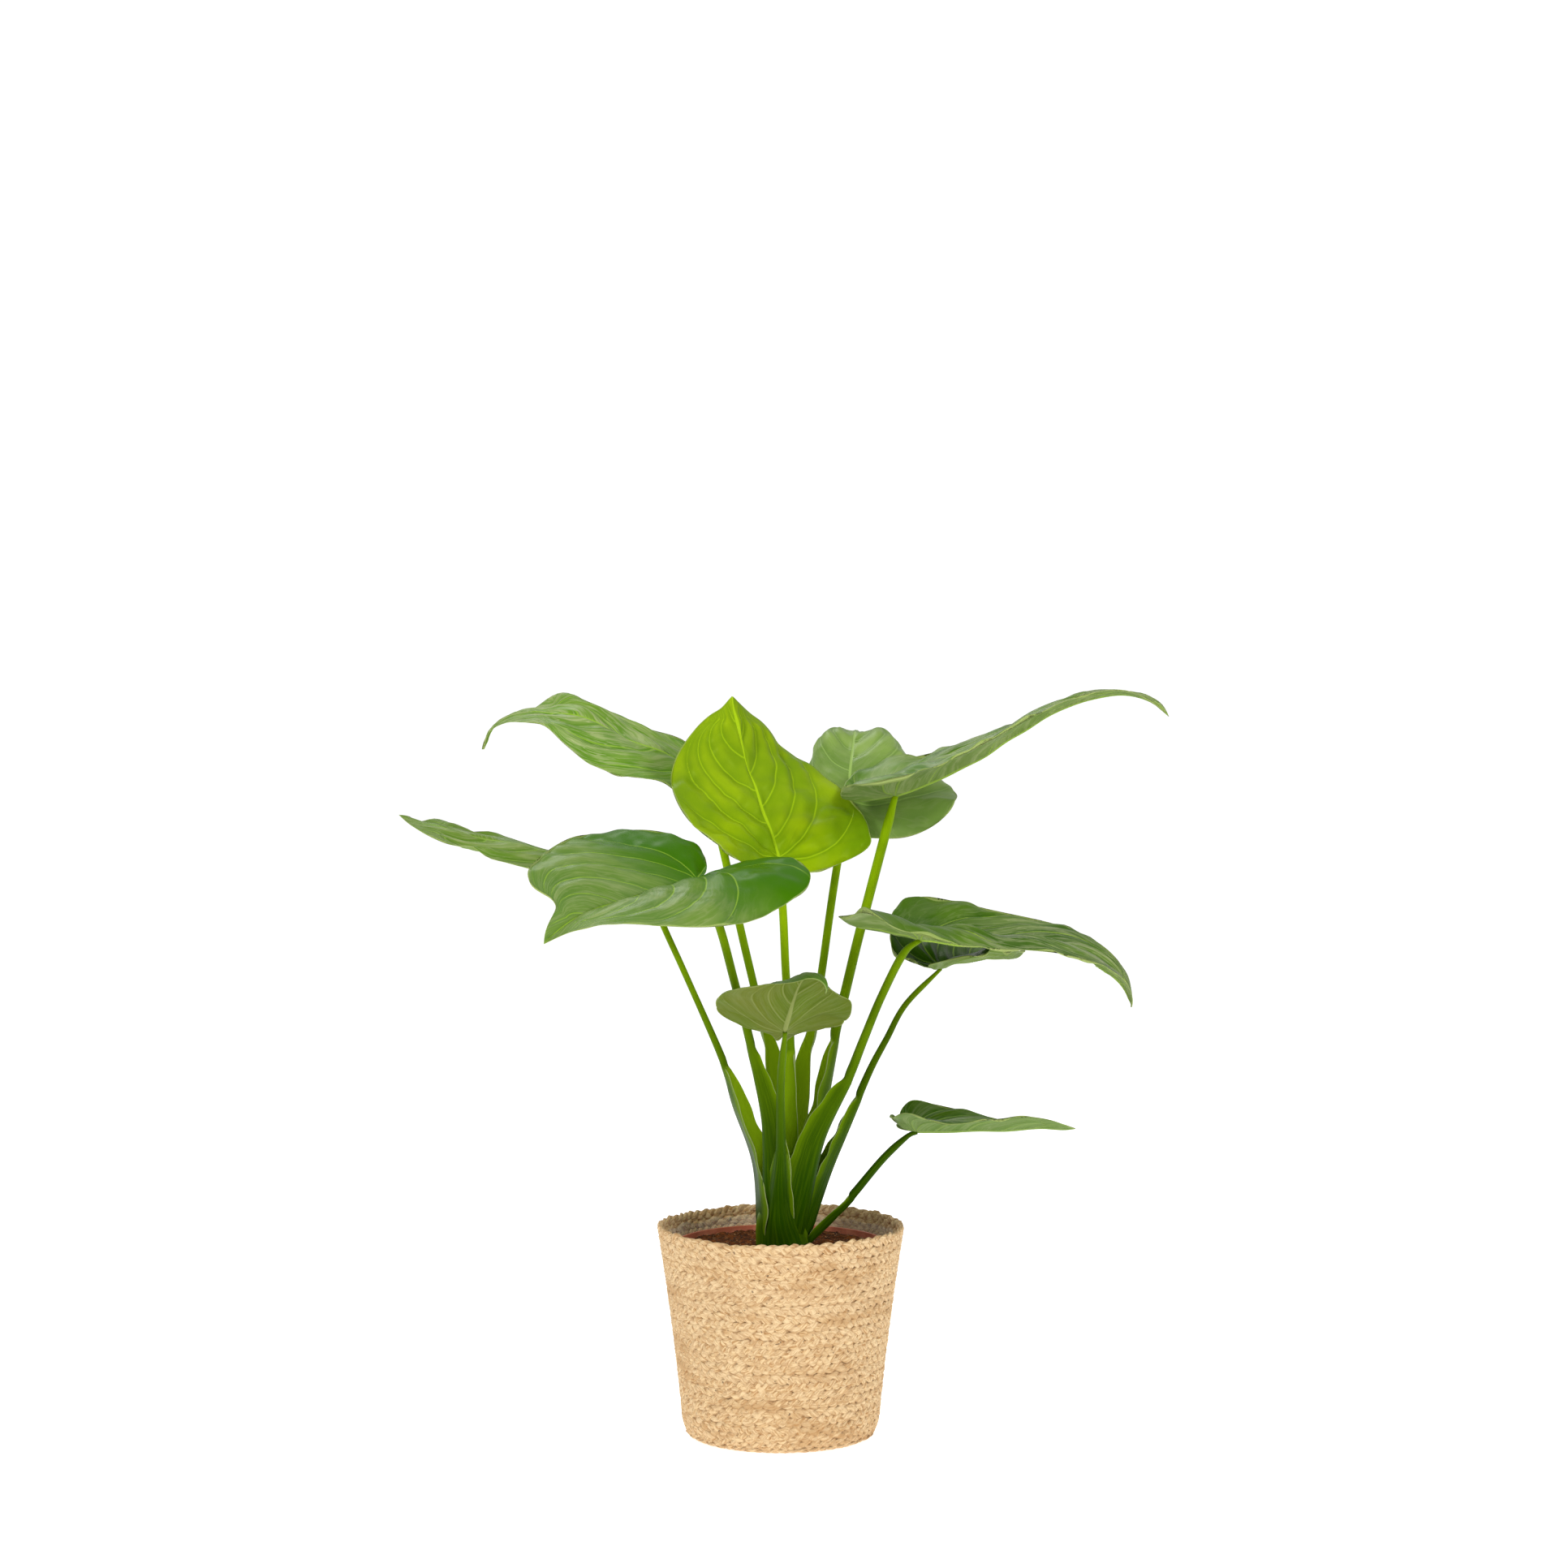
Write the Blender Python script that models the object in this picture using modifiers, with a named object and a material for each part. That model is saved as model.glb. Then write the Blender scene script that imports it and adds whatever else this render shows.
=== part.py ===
"""A potted Chinese taro: ten heart-shaped leaves, a nursery pot and a braided rope basket.

Metres, +Z up. The centre of the basket's underside is the origin, and -Y is the front.
"""
import math

import bmesh
import bpy
import numpy as np
from mathutils import Vector

MM = 0.001
GAP = 0.3 * MM

# Basket: a coiled plait, row on row
BASKET_TOP = 207 * MM
BASKET_TOP_RADIUS = 121 * MM
BASKET_FOOT_RADIUS = 97.5 * MM
BASKET_FOOT_HEIGHT = 26 * MM
BASKET_BASE_RADIUS = 86 * MM
BASKET_WALL = 8 * MM
BASKET_ROWS = 24
BASKET_ROW_BULGE = 1.3 * MM
ROUND_STEPS = 36

# Clear film liner
FILM = 0.8 * MM
LINER_TOP = 199 * MM
LINER_TOP_RADIUS = 111.0 * MM
LINER_BASE_RADIUS = 85.5 * MM

# Nursery pot
POT_TOP = 190 * MM
POT_LIP_RADIUS = 104.5 * MM
POT_LIP_HEIGHT = 16 * MM
POT_LIP_STEP = 3 * MM
POT_BASE_RADIUS = 76 * MM
POT_WALL = 1.6 * MM
POT_DRAINS = 6
POT_DRAIN_RADIUS = 6 * MM
POT_DRAIN_CIRCLE = 52 * MM

# Soil
SOIL_TOP = 185 * MM
SOIL_MOUND = 1 * MM

# Stem, as an ellipse in plan
STEM_X = 5 * MM
STEM_Y = -1 * MM
STEM_HALF_WIDTH = 28 * MM
STEM_HALF_DEPTH = 24 * MM
STEM_FOOT = 150 * MM
STEM_SHOULDER = 192 * MM
STEM_TOP = 216 * MM

# Leaf blades
BLADE = 0.8 * MM
BLADE_RINGS = (0.3, 0.58, 0.82, 1.0)
BLADE_SPOKES = 36

# Stalks: the height that their routes are measured from, and the thickness of a sheath's edge
ROUTE_BASE = 181 * MM
STALK_SHARES = (-1.0, -0.62, -0.22, 0.22, 0.62, 1.0)
STALK_RINGS = 14
STALK_EDGE = 0.45
STALK_END = 1.5
STALK_SEAT = 2.0 * MM

# Each stalk: its route in mm as (x, y, height above the route base), the way its back faces, its
# radius under the blade, how much it swells towards the stem, the height its sheath reaches, the
# arc lengths of the sheath's left and right wings, seen from outside, and the degrees by which
# each wing wraps round.
# Each blade: degrees and mm. Left and right are seen from the stalk towards the leaf's tip.
# margin_out and margin_up are local bumps of the margin, outwards and upwards, each (degrees from
# the tip, width in degrees, mm). channel is the depth of the groove along the midrib.
LEAVES = {
    "upper_left": {
        "route": [
            (-5, 10, -14), (-8, 14, 6), (-8, 25, 93), (-10, 38, 184),
            (-16, 44, 213), (-28, 54, 262), (-41, 67, 316), (-58, 87, 391),
        ],
        "faces": 130, "radius": 4.0, "swell": 2.5, "sheath_top": 225, "wings": (26, 26), "wrap": 55,
        "junction": (-77, 104, 646), "colour": (0.13, 0.3, 0.06),
        "bearing": 182, "rise": 25, "roll": -5, "droop": -1,
        "hook": 108, "lobe_droop": 17, "swing": -18, "twist": 0,
        "fold_left": -9, "fold_right": 10, "open_left": -21, "open_right": 10,
        "curl_left": -19, "curl_right": -14,
        "length": 257, "width_left": 68, "width_right": 88,
        "lobe_left": 44, "lobe_right": 44, "drip_tip": 0.32,
        "wave_left": 8.0, "waves_left": 6.1, "phase_left": 65,
        "wave_right": 3.6, "waves_right": 6.7, "phase_right": -5,
        "margin_out": [],
        "margin_up": [(15, 3.5, 6), (28, 5, -2.5), (-9, 3.5, -8), (-18, 3.5, 3)],
        "channel": 0,
    },
    "lower_left": {
        "route": [
            (-11, -2, -14), (-16, -2, 6), (-22, -7, 86), (-43, -11, 147),
            (-56, -14, 190), (-93, -18, 276), (-112, -17, 318),
        ],
        "faces": 155, "radius": 3.1, "swell": 4.5, "sheath_top": 192, "wings": (26, 30), "wrap": 65,
        "junction": (-137, -14, 558), "colour": (0.13, 0.27, 0.07),
        "bearing": 188, "rise": 13, "roll": -14, "droop": 4,
        "hook": -12, "lobe_droop": 38, "swing": -7, "twist": 9,
        "fold_left": 3, "fold_right": -30, "open_left": -20, "open_right": 11,
        "curl_left": -7, "curl_right": -4,
        "length": 240, "width_left": 56, "width_right": 57,
        "lobe_left": 50, "lobe_right": 46, "drip_tip": 0.16,
        "wave_left": 3.5, "waves_left": 5.5, "phase_left": 25,
        "wave_right": 0.3, "waves_right": 5.4, "phase_right": 70,
        "margin_out": [],
        "margin_up": [
            (-4, 1.5, -5), (-12, 1.8, -6), (-17, 1.5, 3), (-20.5, 1.5, -4), (-30, 5, 3), (13.5, 2, 6),
        ],
        "channel": 0,
    },
    "front_left": {
        "route": [
            (-7, -8, -14), (-11, -10, 6), (-12, -34, 107), (-16, -45, 152),
            (-32, -65, 226), (-44, -79, 274), (-60, -98, 335),
        ],
        "faces": 225, "radius": 4.1, "swell": 3.5, "sheath_top": 215, "wings": (20, 30), "wrap": 60,
        "junction": (-80, -115, 558), "colour": (0.09, 0.21, 0.04),
        "bearing": 238, "rise": -7, "roll": -7, "droop": -7,
        "hook": 40, "lobe_droop": 3, "swing": -12, "twist": -7,
        "fold_left": 32, "fold_right": 28, "open_left": 19, "open_right": 30,
        "curl_left": -63, "curl_right": -28,
        "length": 228, "width_left": 115, "width_right": 115,
        "lobe_left": 81, "lobe_right": 58, "drip_tip": 0.16,
        "wave_left": 3.8, "waves_left": 3.4, "phase_left": 40,
        "wave_right": 1.8, "waves_right": 6.0, "phase_right": 55,
        "margin_out": [(-22, 7, 7), (-8, 5, -16), (-5, 2.5, -6), (-165, 11, -22)],
        "margin_up": [],
        "channel": 0,
    },
    "young": {
        "route": [
            (3, 0, -14), (2, 1, 6), (7, 1, 90), (9, 1, 167),
            (9, 1, 217), (5, 1, 274), (2, 2, 338),
        ],
        "faces": 80, "radius": 4.0, "swell": 2.5, "sheath_top": 205, "wings": (20, 22), "wrap": 70,
        "junction": (-2, 5, 569), "colour": (0.31, 0.42, 0.02),
        "bearing": 124, "rise": 62, "roll": 10, "droop": 6,
        "hook": -30, "lobe_droop": -30, "swing": 13, "twist": -19,
        "fold_left": 12, "fold_right": 46, "open_left": -47, "open_right": -19,
        "curl_left": 1, "curl_right": -27,
        "length": 173, "width_left": 98, "width_right": 100,
        "lobe_left": 20, "lobe_right": 25, "drip_tip": 0.11,
        "wave_left": 2.3, "waves_left": 4.3, "phase_left": -35,
        "wave_right": 3.6, "waves_right": 4.8, "phase_right": 120,
        "margin_out": [(-24, 8, -6), (35, 12, 3), (4, 3, -2), (-92, 14, -4)],
        "margin_up": [],
        "channel": 0,
    },
    "back": {
        "route": [
            (5, 10, -14), (5, 14, 6), (15, 32, 95), (24, 45, 183),
            (31, 51, 210), (41, 63, 271), (49, 75, 327), (56, 86, 372),
        ],
        "faces": 65, "radius": 4.0, "swell": 2.5, "sheath_top": 225, "wings": (22, 22), "wrap": 60,
        "junction": (67, 102, 619), "colour": (0.14, 0.28, 0.08),
        "bearing": 84, "rise": 47, "roll": 0, "droop": 54,
        "hook": 4, "lobe_droop": 11, "swing": 3.5, "twist": 2.5,
        "fold_left": -2, "fold_right": 11, "open_left": -19, "open_right": -50,
        "curl_left": -84, "curl_right": -27,
        "length": 192, "width_left": 98, "width_right": 112,
        "lobe_left": 49, "lobe_right": 54, "drip_tip": 0.21,
        "wave_left": 3.6, "waves_left": 5.6, "phase_left": 35,
        "wave_right": 3.4, "waves_right": 5.6, "phase_right": -70,
        "margin_out": [(-102, 18, -7)],
        "margin_up": [(-35, 12, -15.5), (-14, 9, 4), (12, 9, -9), (32, 12, -7)],
        "channel": 24,
    },
    "upper_right": {
        "route": [
            (11, 5, -14), (13, 7, 6), (29, 12, 85), (43, 16, 158),
            (54, 19, 216), (63, 20, 252), (79, 23, 318),
        ],
        "faces": 15, "radius": 4.8, "swell": 4.0, "sheath_top": 215, "wings": (30, 26), "wrap": 60,
        "junction": (112, 24, 629), "colour": (0.15, 0.3, 0.08),
        "bearing": -3, "rise": 19, "roll": -14, "droop": -38,
        "hook": 112, "lobe_droop": -80, "swing": -12, "twist": 4,
        "fold_left": 42, "fold_right": 19, "open_left": 9, "open_right": -1,
        "curl_left": -21, "curl_right": -40,
        "length": 299, "width_left": 97, "width_right": 103,
        "lobe_left": 55, "lobe_right": 54, "drip_tip": 0.24,
        "wave_left": 0.0, "waves_left": 4.1, "phase_left": -95,
        "wave_right": 0.7, "waves_right": 3.1, "phase_right": 85,
        "margin_out": [],
        "margin_up": [],
        "channel": 0,
    },
    "right": {
        "route": [
            (10, -8, -14), (12, -11, 6), (24, -19, 60), (38, -29, 118),
            (65, -40, 176), (80, -48, 215), (97, -57, 258), (118, -67, 301),
        ],
        "faces": -40, "radius": 4.0, "swell": 4.5, "sheath_top": 182, "wings": (36, 26), "wrap": 60,
        "junction": (134, -72, 497), "colour": (0.12, 0.26, 0.05),
        "bearing": -6, "rise": -5, "roll": -9, "droop": -10,
        "hook": 91, "lobe_droop": -8, "swing": -2, "twist": -3,
        "fold_left": 24, "fold_right": 27, "open_left": 15, "open_right": 6,
        "curl_left": 8, "curl_right": -54,
        "length": 227, "width_left": 96, "width_right": 101,
        "lobe_left": 42, "lobe_right": 76, "drip_tip": 0.1,
        "wave_left": 1.5, "waves_left": 4.8, "phase_left": 45,
        "wave_right": 2.1, "waves_right": 3.9, "phase_right": -5,
        "margin_out": [(-152, 7, 7), (142, 22, -12)],
        "margin_up": [(-115, 14, 6.5)],
        "channel": 0,
    },
    "right_back": {
        "route": [
            (16, -1, -14), (20, -1, 6), (32, 1, 42), (46, 4, 81),
            (64, 8, 123), (87, 13, 176), (104, 16, 208), (123, 19, 242),
        ],
        "faces": 5, "radius": 2.8, "swell": 4.5, "sheath_top": 157, "wings": (26, 24), "wrap": 70,
        "junction": (158, 24, 459), "colour": (0.11, 0.24, 0.05),
        "bearing": 56, "rise": 2, "roll": 9, "droop": 2,
        "hook": 10, "lobe_droop": -12, "swing": -1, "twist": -4,
        "fold_left": 33, "fold_right": 38, "open_left": 17, "open_right": 8,
        "curl_left": -10, "curl_right": -8,
        "length": 137, "width_left": 62, "width_right": 62,
        "lobe_left": 49, "lobe_right": 48, "drip_tip": 0.17,
        "wave_left": 2.9, "waves_left": 4.5, "phase_left": -10,
        "wave_right": 2.9, "waves_right": 4.6, "phase_right": 5,
        "margin_out": [],
        "margin_up": [(-103, 26, -10)],
        "channel": 0,
    },
    "front_small": {
        "route": [(2, -11, -14), (1, -14, 6), (-3, -28, 42), (0, -48, 109), (0, -71, 176)],
        "faces": 265, "radius": 3.1, "swell": 4.0, "sheath_top": 110, "wings": (24, 24), "wrap": 60,
        "junction": (4, -93, 410), "colour": (0.19, 0.25, 0.09),
        "bearing": -79, "rise": 49, "roll": 4, "droop": -37,
        "hook": 223, "lobe_droop": -56, "swing": 54, "twist": -9,
        "fold_left": 45, "fold_right": 44, "open_left": -42, "open_right": -15,
        "curl_left": -70, "curl_right": -18,
        "length": 108, "width_left": 67, "width_right": 71,
        "lobe_left": 33, "lobe_right": 22, "drip_tip": 0.23,
        "wave_left": 2.2, "waves_left": 3.3, "phase_left": -25,
        "wave_right": 4.7, "waves_right": 4.7, "phase_right": 145,
        "margin_out": [],
        "margin_up": [],
        "channel": 0,
    },
    "low_small": {
        "route": [
            (19, -3, -14), (24, -4, 6), (47, -7, 33),
            (68, -10, 55), (100, -14, 94), (123, -17, 116),
        ],
        "faces": -20, "radius": 2.4, "swell": 2.5, "sheath_top": 58, "wings": (12, 12), "wrap": 60,
        "junction": (133, -18, 303), "colour": (0.08, 0.2, 0.04),
        "bearing": -10, "rise": 1, "roll": -20, "droop": -6,
        "hook": 8, "lobe_droop": -6, "swing": 1, "twist": -6,
        "fold_left": 55, "fold_right": 28, "open_left": 4, "open_right": 6,
        "curl_left": 5, "curl_right": -45,
        "length": 155, "width_left": 40, "width_right": 44,
        "lobe_left": 26, "lobe_right": 26, "drip_tip": 0.18,
        "wave_left": 0.0, "waves_left": 4.3, "phase_left": -60,
        "wave_right": 4.2, "waves_right": 4.5, "phase_right": 40,
        "margin_out": [(145, 16, -7)],
        "margin_up": [(-140, 22, 9), (105, 12, 3)],
        "channel": 0,
    },
}


def clear_scene():
    """Start from an empty file."""
    for thing in list(bpy.data.objects):
        bpy.data.objects.remove(thing, do_unlink=True)


def collection(name, parent):
    """A new collection inside another."""
    made = bpy.data.collections.new(name)
    parent.children.link(made)
    return made


def material(name, colour, roughness, metallic=0.0, alpha=1.0):
    """A plain Principled material."""
    made = bpy.data.materials.new(name)
    made.use_nodes = True
    shader = made.node_tree.nodes["Principled BSDF"]
    shader.inputs["Base Color"].default_value = (*colour, 1.0)
    shader.inputs["Roughness"].default_value = roughness
    shader.inputs["Metallic"].default_value = metallic
    shader.inputs["Alpha"].default_value = alpha
    made.diffuse_color = (*colour, alpha)
    return made


def add_object(name, mesh, group, finish, smooth=True):
    """Link a mesh as one named object."""
    thing = bpy.data.objects.new(name, mesh)
    group.objects.link(thing)
    if finish is not None:
        mesh.materials.append(finish)
    for face in mesh.polygons:
        face.use_smooth = smooth
    return thing


def turned(name, profile, group, finish):
    """A body of revolution from (radius, height) points, on the Z axis."""
    mesh = bpy.data.meshes.new(name)
    points = [(radius, 0.0, height) for radius, height in profile]
    edges = [(i, i + 1) for i in range(len(points) - 1)]
    mesh.from_pydata(points, edges, [])
    thing = add_object(name, mesh, group, finish)
    screw = thing.modifiers.new("Turn", "SCREW")
    screw.axis = "Z"
    screw.steps = ROUND_STEPS
    screw.render_steps = ROUND_STEPS
    screw.use_merge_vertices = True
    screw.merge_threshold = 0.00001
    screw.use_smooth_shade = True
    return thing


def cutter(name, group, radius, low, high, x=0.0, y=0.0, depth_share=1.0, sides=24):
    """An upright cylinder that cuts a hole."""
    bpy.ops.mesh.primitive_cylinder_add(
        vertices=sides,
        radius=radius,
        depth=high - low,
        location=(x, y, (high + low) / 2),
        scale=(1.0, depth_share, 1.0),
    )
    thing = bpy.context.object
    thing.name = name
    for owner in list(thing.users_collection):
        owner.objects.unlink(thing)
    group.objects.link(thing)
    thing.display_type = "WIRE"
    thing.hide_render = True
    return thing


def subtract(thing, operand):
    """Cut one object out of another."""
    cut = thing.modifiers.new("Cut " + operand.name, "BOOLEAN")
    cut.operation = "DIFFERENCE"
    cut.solver = "EXACT"
    cut.object = operand


def basket_wall(height):
    """Outer radius of the basket at a height, without its rows."""
    if height >= BASKET_FOOT_HEIGHT:
        share = (height - BASKET_FOOT_HEIGHT) / (BASKET_TOP - BASKET_FOOT_HEIGHT)
        flare = 0.75 * share + 0.25 * share ** 2
        return BASKET_FOOT_RADIUS + (BASKET_TOP_RADIUS - BASKET_FOOT_RADIUS) * flare
    share = 1 - height / BASKET_FOOT_HEIGHT
    bend = 1 - math.sqrt(max(0.0, 1 - share ** 2))
    return BASKET_FOOT_RADIUS - (BASKET_FOOT_RADIUS - BASKET_BASE_RADIUS) * bend


def build_basket(group):
    """Rope basket: ribbed outer wall, plaited rim, plain inside."""
    finish = material("Braided rope", (0.70, 0.47, 0.24), 0.9)
    pitch = BASKET_TOP / BASKET_ROWS
    profile = [(0.0, BASKET_WALL)]
    profile.append((LINER_BASE_RADIUS + GAP, BASKET_WALL))
    profile.append((basket_wall(100 * MM) - BASKET_WALL, 100 * MM))
    profile.append((BASKET_TOP_RADIUS - BASKET_WALL - 0.5 * MM, BASKET_TOP - 6 * MM))
    profile.append((BASKET_TOP_RADIUS - BASKET_WALL * 0.75, BASKET_TOP - 1.5 * MM))
    profile.append((BASKET_TOP_RADIUS - BASKET_WALL * 0.45, BASKET_TOP))
    for row in range(BASKET_ROWS):
        crest = BASKET_TOP - (row + 0.5) * pitch
        valley = BASKET_TOP - (row + 1.0) * pitch
        profile.append((basket_wall(crest) + BASKET_ROW_BULGE / 2, crest))
        if row < BASKET_ROWS - 1:
            profile.append((basket_wall(valley) - BASKET_ROW_BULGE / 2, valley))
    profile.append((BASKET_BASE_RADIUS, 0.0))
    profile.append((0.0, 0.0))
    return turned("basket", profile, group, finish)


def build_liner(group):
    """Film liner standing just inside the basket."""
    finish = material("Clear film", (0.85, 0.87, 0.88), 0.15, alpha=0.35)
    floor = BASKET_WALL + GAP
    middle = 100 * MM
    middle_radius = basket_wall(middle) - BASKET_WALL - 1.2 * MM
    profile = [
        (0.0, floor + FILM),
        (LINER_BASE_RADIUS - 2 * FILM, floor + FILM),
        (middle_radius - FILM, middle),
        (LINER_TOP_RADIUS - FILM, LINER_TOP),
        (LINER_TOP_RADIUS, LINER_TOP),
        (middle_radius, middle),
        (LINER_BASE_RADIUS - FILM, floor),
        (0.0, floor),
    ]
    return turned("liner", profile, group, finish)


def pot_floor():
    """Height of the underside of the pot."""
    return BASKET_WALL + GAP + FILM + GAP


def build_pot(group, cutters):
    """Thin nursery pot with a stepped lip and drain holes."""
    finish = material("Red-brown plastic", (0.50, 0.13, 0.07), 0.45)
    floor = pot_floor()
    step = POT_TOP - POT_LIP_HEIGHT
    body_radius = POT_LIP_RADIUS - POT_LIP_STEP
    profile = [
        (0.0, floor + POT_WALL),
        (POT_BASE_RADIUS - POT_WALL, floor + POT_WALL),
        (body_radius - POT_WALL, step),
        (POT_LIP_RADIUS - POT_WALL - 0.4 * MM, step + POT_LIP_STEP),
        (POT_LIP_RADIUS - POT_WALL, POT_TOP - 0.6 * MM),
        (POT_LIP_RADIUS - POT_WALL / 2, POT_TOP),
        (POT_LIP_RADIUS, POT_TOP - 0.6 * MM),
        (POT_LIP_RADIUS - 0.4 * MM, step - 1 * MM),
        (body_radius, step - 1 * MM),
        (POT_BASE_RADIUS, floor + 2 * MM),
        (POT_BASE_RADIUS - 1.5 * MM, floor),
        (0.0, floor),
    ]
    pot = turned("nursery_pot", profile, group, finish)
    for hole in range(POT_DRAINS):
        angle = math.tau * (hole + 0.5) / POT_DRAINS
        x = POT_DRAIN_CIRCLE * math.cos(angle)
        y = POT_DRAIN_CIRCLE * math.sin(angle)
        name = f"drain_cutter_{hole + 1}"
        bit = cutter(name, cutters, POT_DRAIN_RADIUS, floor - 3 * MM, floor + 5 * MM, x, y, 1.0, 10)
        subtract(pot, bit)
    return pot


def build_soil(group, cutters):
    """Potting mix that fills the pot, with a hole for the stem."""
    finish = material("Potting mix", (0.055, 0.028, 0.016), 0.95)
    floor = pot_floor() + POT_WALL + GAP
    wall = POT_WALL + GAP
    profile = [
        (0.0, SOIL_TOP + SOIL_MOUND),
        (45 * MM, SOIL_TOP + 0.7 * SOIL_MOUND),
        (80 * MM, SOIL_TOP),
        (POT_LIP_RADIUS - wall - 1.3 * MM, SOIL_TOP - 1.5 * MM),
        (POT_LIP_RADIUS - wall - 1.3 * MM, POT_TOP - POT_LIP_HEIGHT + POT_LIP_STEP),
        (POT_LIP_RADIUS - POT_LIP_STEP - wall - 0.2 * MM, POT_TOP - POT_LIP_HEIGHT - 1 * MM),
        (POT_BASE_RADIUS - wall - 0.5 * MM, floor),
        (0.0, floor),
    ]
    soil = turned("soil", profile, group, finish)
    hole_radius = STEM_HALF_WIDTH + GAP
    share = (STEM_HALF_DEPTH + GAP) / hole_radius
    low = STEM_FOOT - GAP
    bit = cutter("stem_cutter", cutters, hole_radius, low, SOIL_TOP + 20 * MM, STEM_X, STEM_Y, share, 28)
    subtract(soil, bit)
    return soil


def smooth_route(points, samples):
    """A smooth curve through hand-placed points, evenly sampled, as (places, directions)."""
    points = np.array(points, float)
    ends = np.vstack([2 * points[0] - points[1], points, 2 * points[-1] - points[-2]])
    dense = []
    for i in range(1, len(ends) - 2):
        p0, p1, p2, p3 = ends[i - 1:i + 3]
        for t in np.linspace(0, 1, 12, endpoint=False):
            bend = 2 * p1 + (p2 - p0) * t + (2 * p0 - 5 * p1 + 4 * p2 - p3) * t ** 2
            dense.append((bend + (3 * p1 - p0 - 3 * p2 + p3) * t ** 3) / 2)
    dense.append(points[-1])
    dense = np.array(dense)
    run = np.concatenate([[0], np.cumsum(np.linalg.norm(np.diff(dense, axis=0), axis=1))])
    at = np.array(samples) * run[-1]
    places = np.stack([np.interp(at, run, dense[:, k]) for k in range(3)], axis=-1)
    tangents = np.gradient(dense, run, axis=0)
    ways = np.stack([np.interp(at, run, tangents[:, k]) for k in range(3)], axis=-1)
    return places, ways / np.linalg.norm(ways, axis=1)[:, None]


def ease(value):
    """Smooth step from 0 to 1."""
    t = np.clip(value, 0.0, 1.0)
    return t * t * (3 - 2 * t)


def stalk_section(height, leaf):
    """Sizes in mm of a stalk's section at heights above the route base.

    Returns the radius of the round stalk, how far it is opened into a sheath (0 to 1) and the
    arc lengths of its left and right wings.
    """
    share = np.clip(1 - height / leaf["sheath_top"], 0, 1)
    opened = ease(share * 14) * ease((height - 6) / 14)
    hug = 0.45 + 0.55 * ease(height / 45)
    rod = leaf["radius"] + leaf["swell"] * np.clip(1 - height / 260, 0, 1) ** 1.5
    rod = rod * (0.55 + 0.45 * ease(height / 35))
    wings = []
    for wing in leaf["wings"]:
        wings.append(rod + opened * np.maximum(0, wing * share ** 0.5 * hug - rod))
    return rod, opened, wings[0], wings[1]


def section_points(shares, rod, opened, left, right, wrap):
    """Places across and out, of the outer and the inner face of a section, at shares of its width.

    The middle line is an arc that turns by the wrap angle at each edge. The faces lie off it by
    half a circle where the stalk is round, and by a keel that thins to the edges where it opens.
    """
    width = np.where(shares >= 0, right[:, None], left[:, None])
    turn = np.maximum(opened[:, None] * math.radians(wrap), 0.001)
    across = width / turn * np.sin(turn * shares)
    inward = width / turn * (1 - np.cos(turn * np.abs(shares)))
    circle = np.maximum(rod[:, None] * np.sqrt(np.clip(1 - shares ** 2, 0, 1)), STALK_EDGE)
    keel = rod[:, None] * np.exp(-1.1 * (shares * width / rod[:, None]) ** 2)
    outer = (1 - opened[:, None]) * circle + opened[:, None] * (STALK_EDGE + 1.05 * keel)
    inner = (1 - opened[:, None]) * circle + opened[:, None] * (STALK_EDGE + 0.2 * keel)
    lean_across, lean_out = np.sin(turn * shares), np.cos(turn * shares)
    return [(across + off * lean_across, -inward + off * lean_out) for off in (outer, -inner)]


def stalk_seat(leaf):
    """Where a stalk ends, just under its blade, in mm."""
    up = midrib(leaf, np.array([0.0]))[2][0]
    return np.array(leaf["junction"]) - up * STALK_SEAT / MM


def stalk_grid(leaf):
    """Rings of points of one stalk, from inside the stem to just under its blade, in mm."""
    samples = np.linspace(0, 1, STALK_RINGS) ** 1.15
    base = np.array([0.0, 0.0, ROUTE_BASE / MM])
    seat = stalk_seat(leaf) - base
    places, ways = smooth_route(leaf["route"] + [tuple(seat)], samples)
    faces = math.radians(leaf["faces"])
    side = np.cross(ways, np.array([math.cos(faces), math.sin(faces), 0.0]))
    side = side / np.linalg.norm(side, axis=1)[:, None]
    out = np.cross(side, ways)
    rod, opened, left, right = stalk_section(places[:, 2], leaf)
    for table in (rod, left, right):
        table[-1] = STALK_END
    shares = np.array(STALK_SHARES)[None, :]
    outer, inner = section_points(shares, rod, opened, left, right, leaf["wrap"])
    across = np.concatenate([outer[0], inner[0][:, ::-1]], axis=1)
    lift = np.concatenate([outer[1], inner[1][:, ::-1]], axis=1)
    return base + places[:, None] + side[:, None] * across[..., None] + out[:, None] * lift[..., None]


def stalk_mesh(name, leaf):
    """Closed mesh of one stalk."""
    made = bmesh.new()
    rings = [[made.verts.new(Vector(p * MM)) for p in ring] for ring in stalk_grid(leaf)]
    count = len(rings[0])
    for low, high in zip(rings, rings[1:]):
        for k in range(count):
            n = (k + 1) % count
            made.faces.new((low[k], low[n], high[n]))
            made.faces.new((low[k], high[n], high[k]))
    for ring, flip in ((rings[0], True), (rings[-1], False)):
        centre = made.verts.new(sum((v.co for v in ring), Vector()) / count)
        for k in range(count):
            n = (k + 1) % count
            made.faces.new((ring[n], ring[k], centre) if flip else (ring[k], ring[n], centre))
    bmesh.ops.recalc_face_normals(made, faces=made.faces)
    mesh = bpy.data.meshes.new(name)
    made.to_mesh(mesh)
    made.free()
    return mesh


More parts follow.
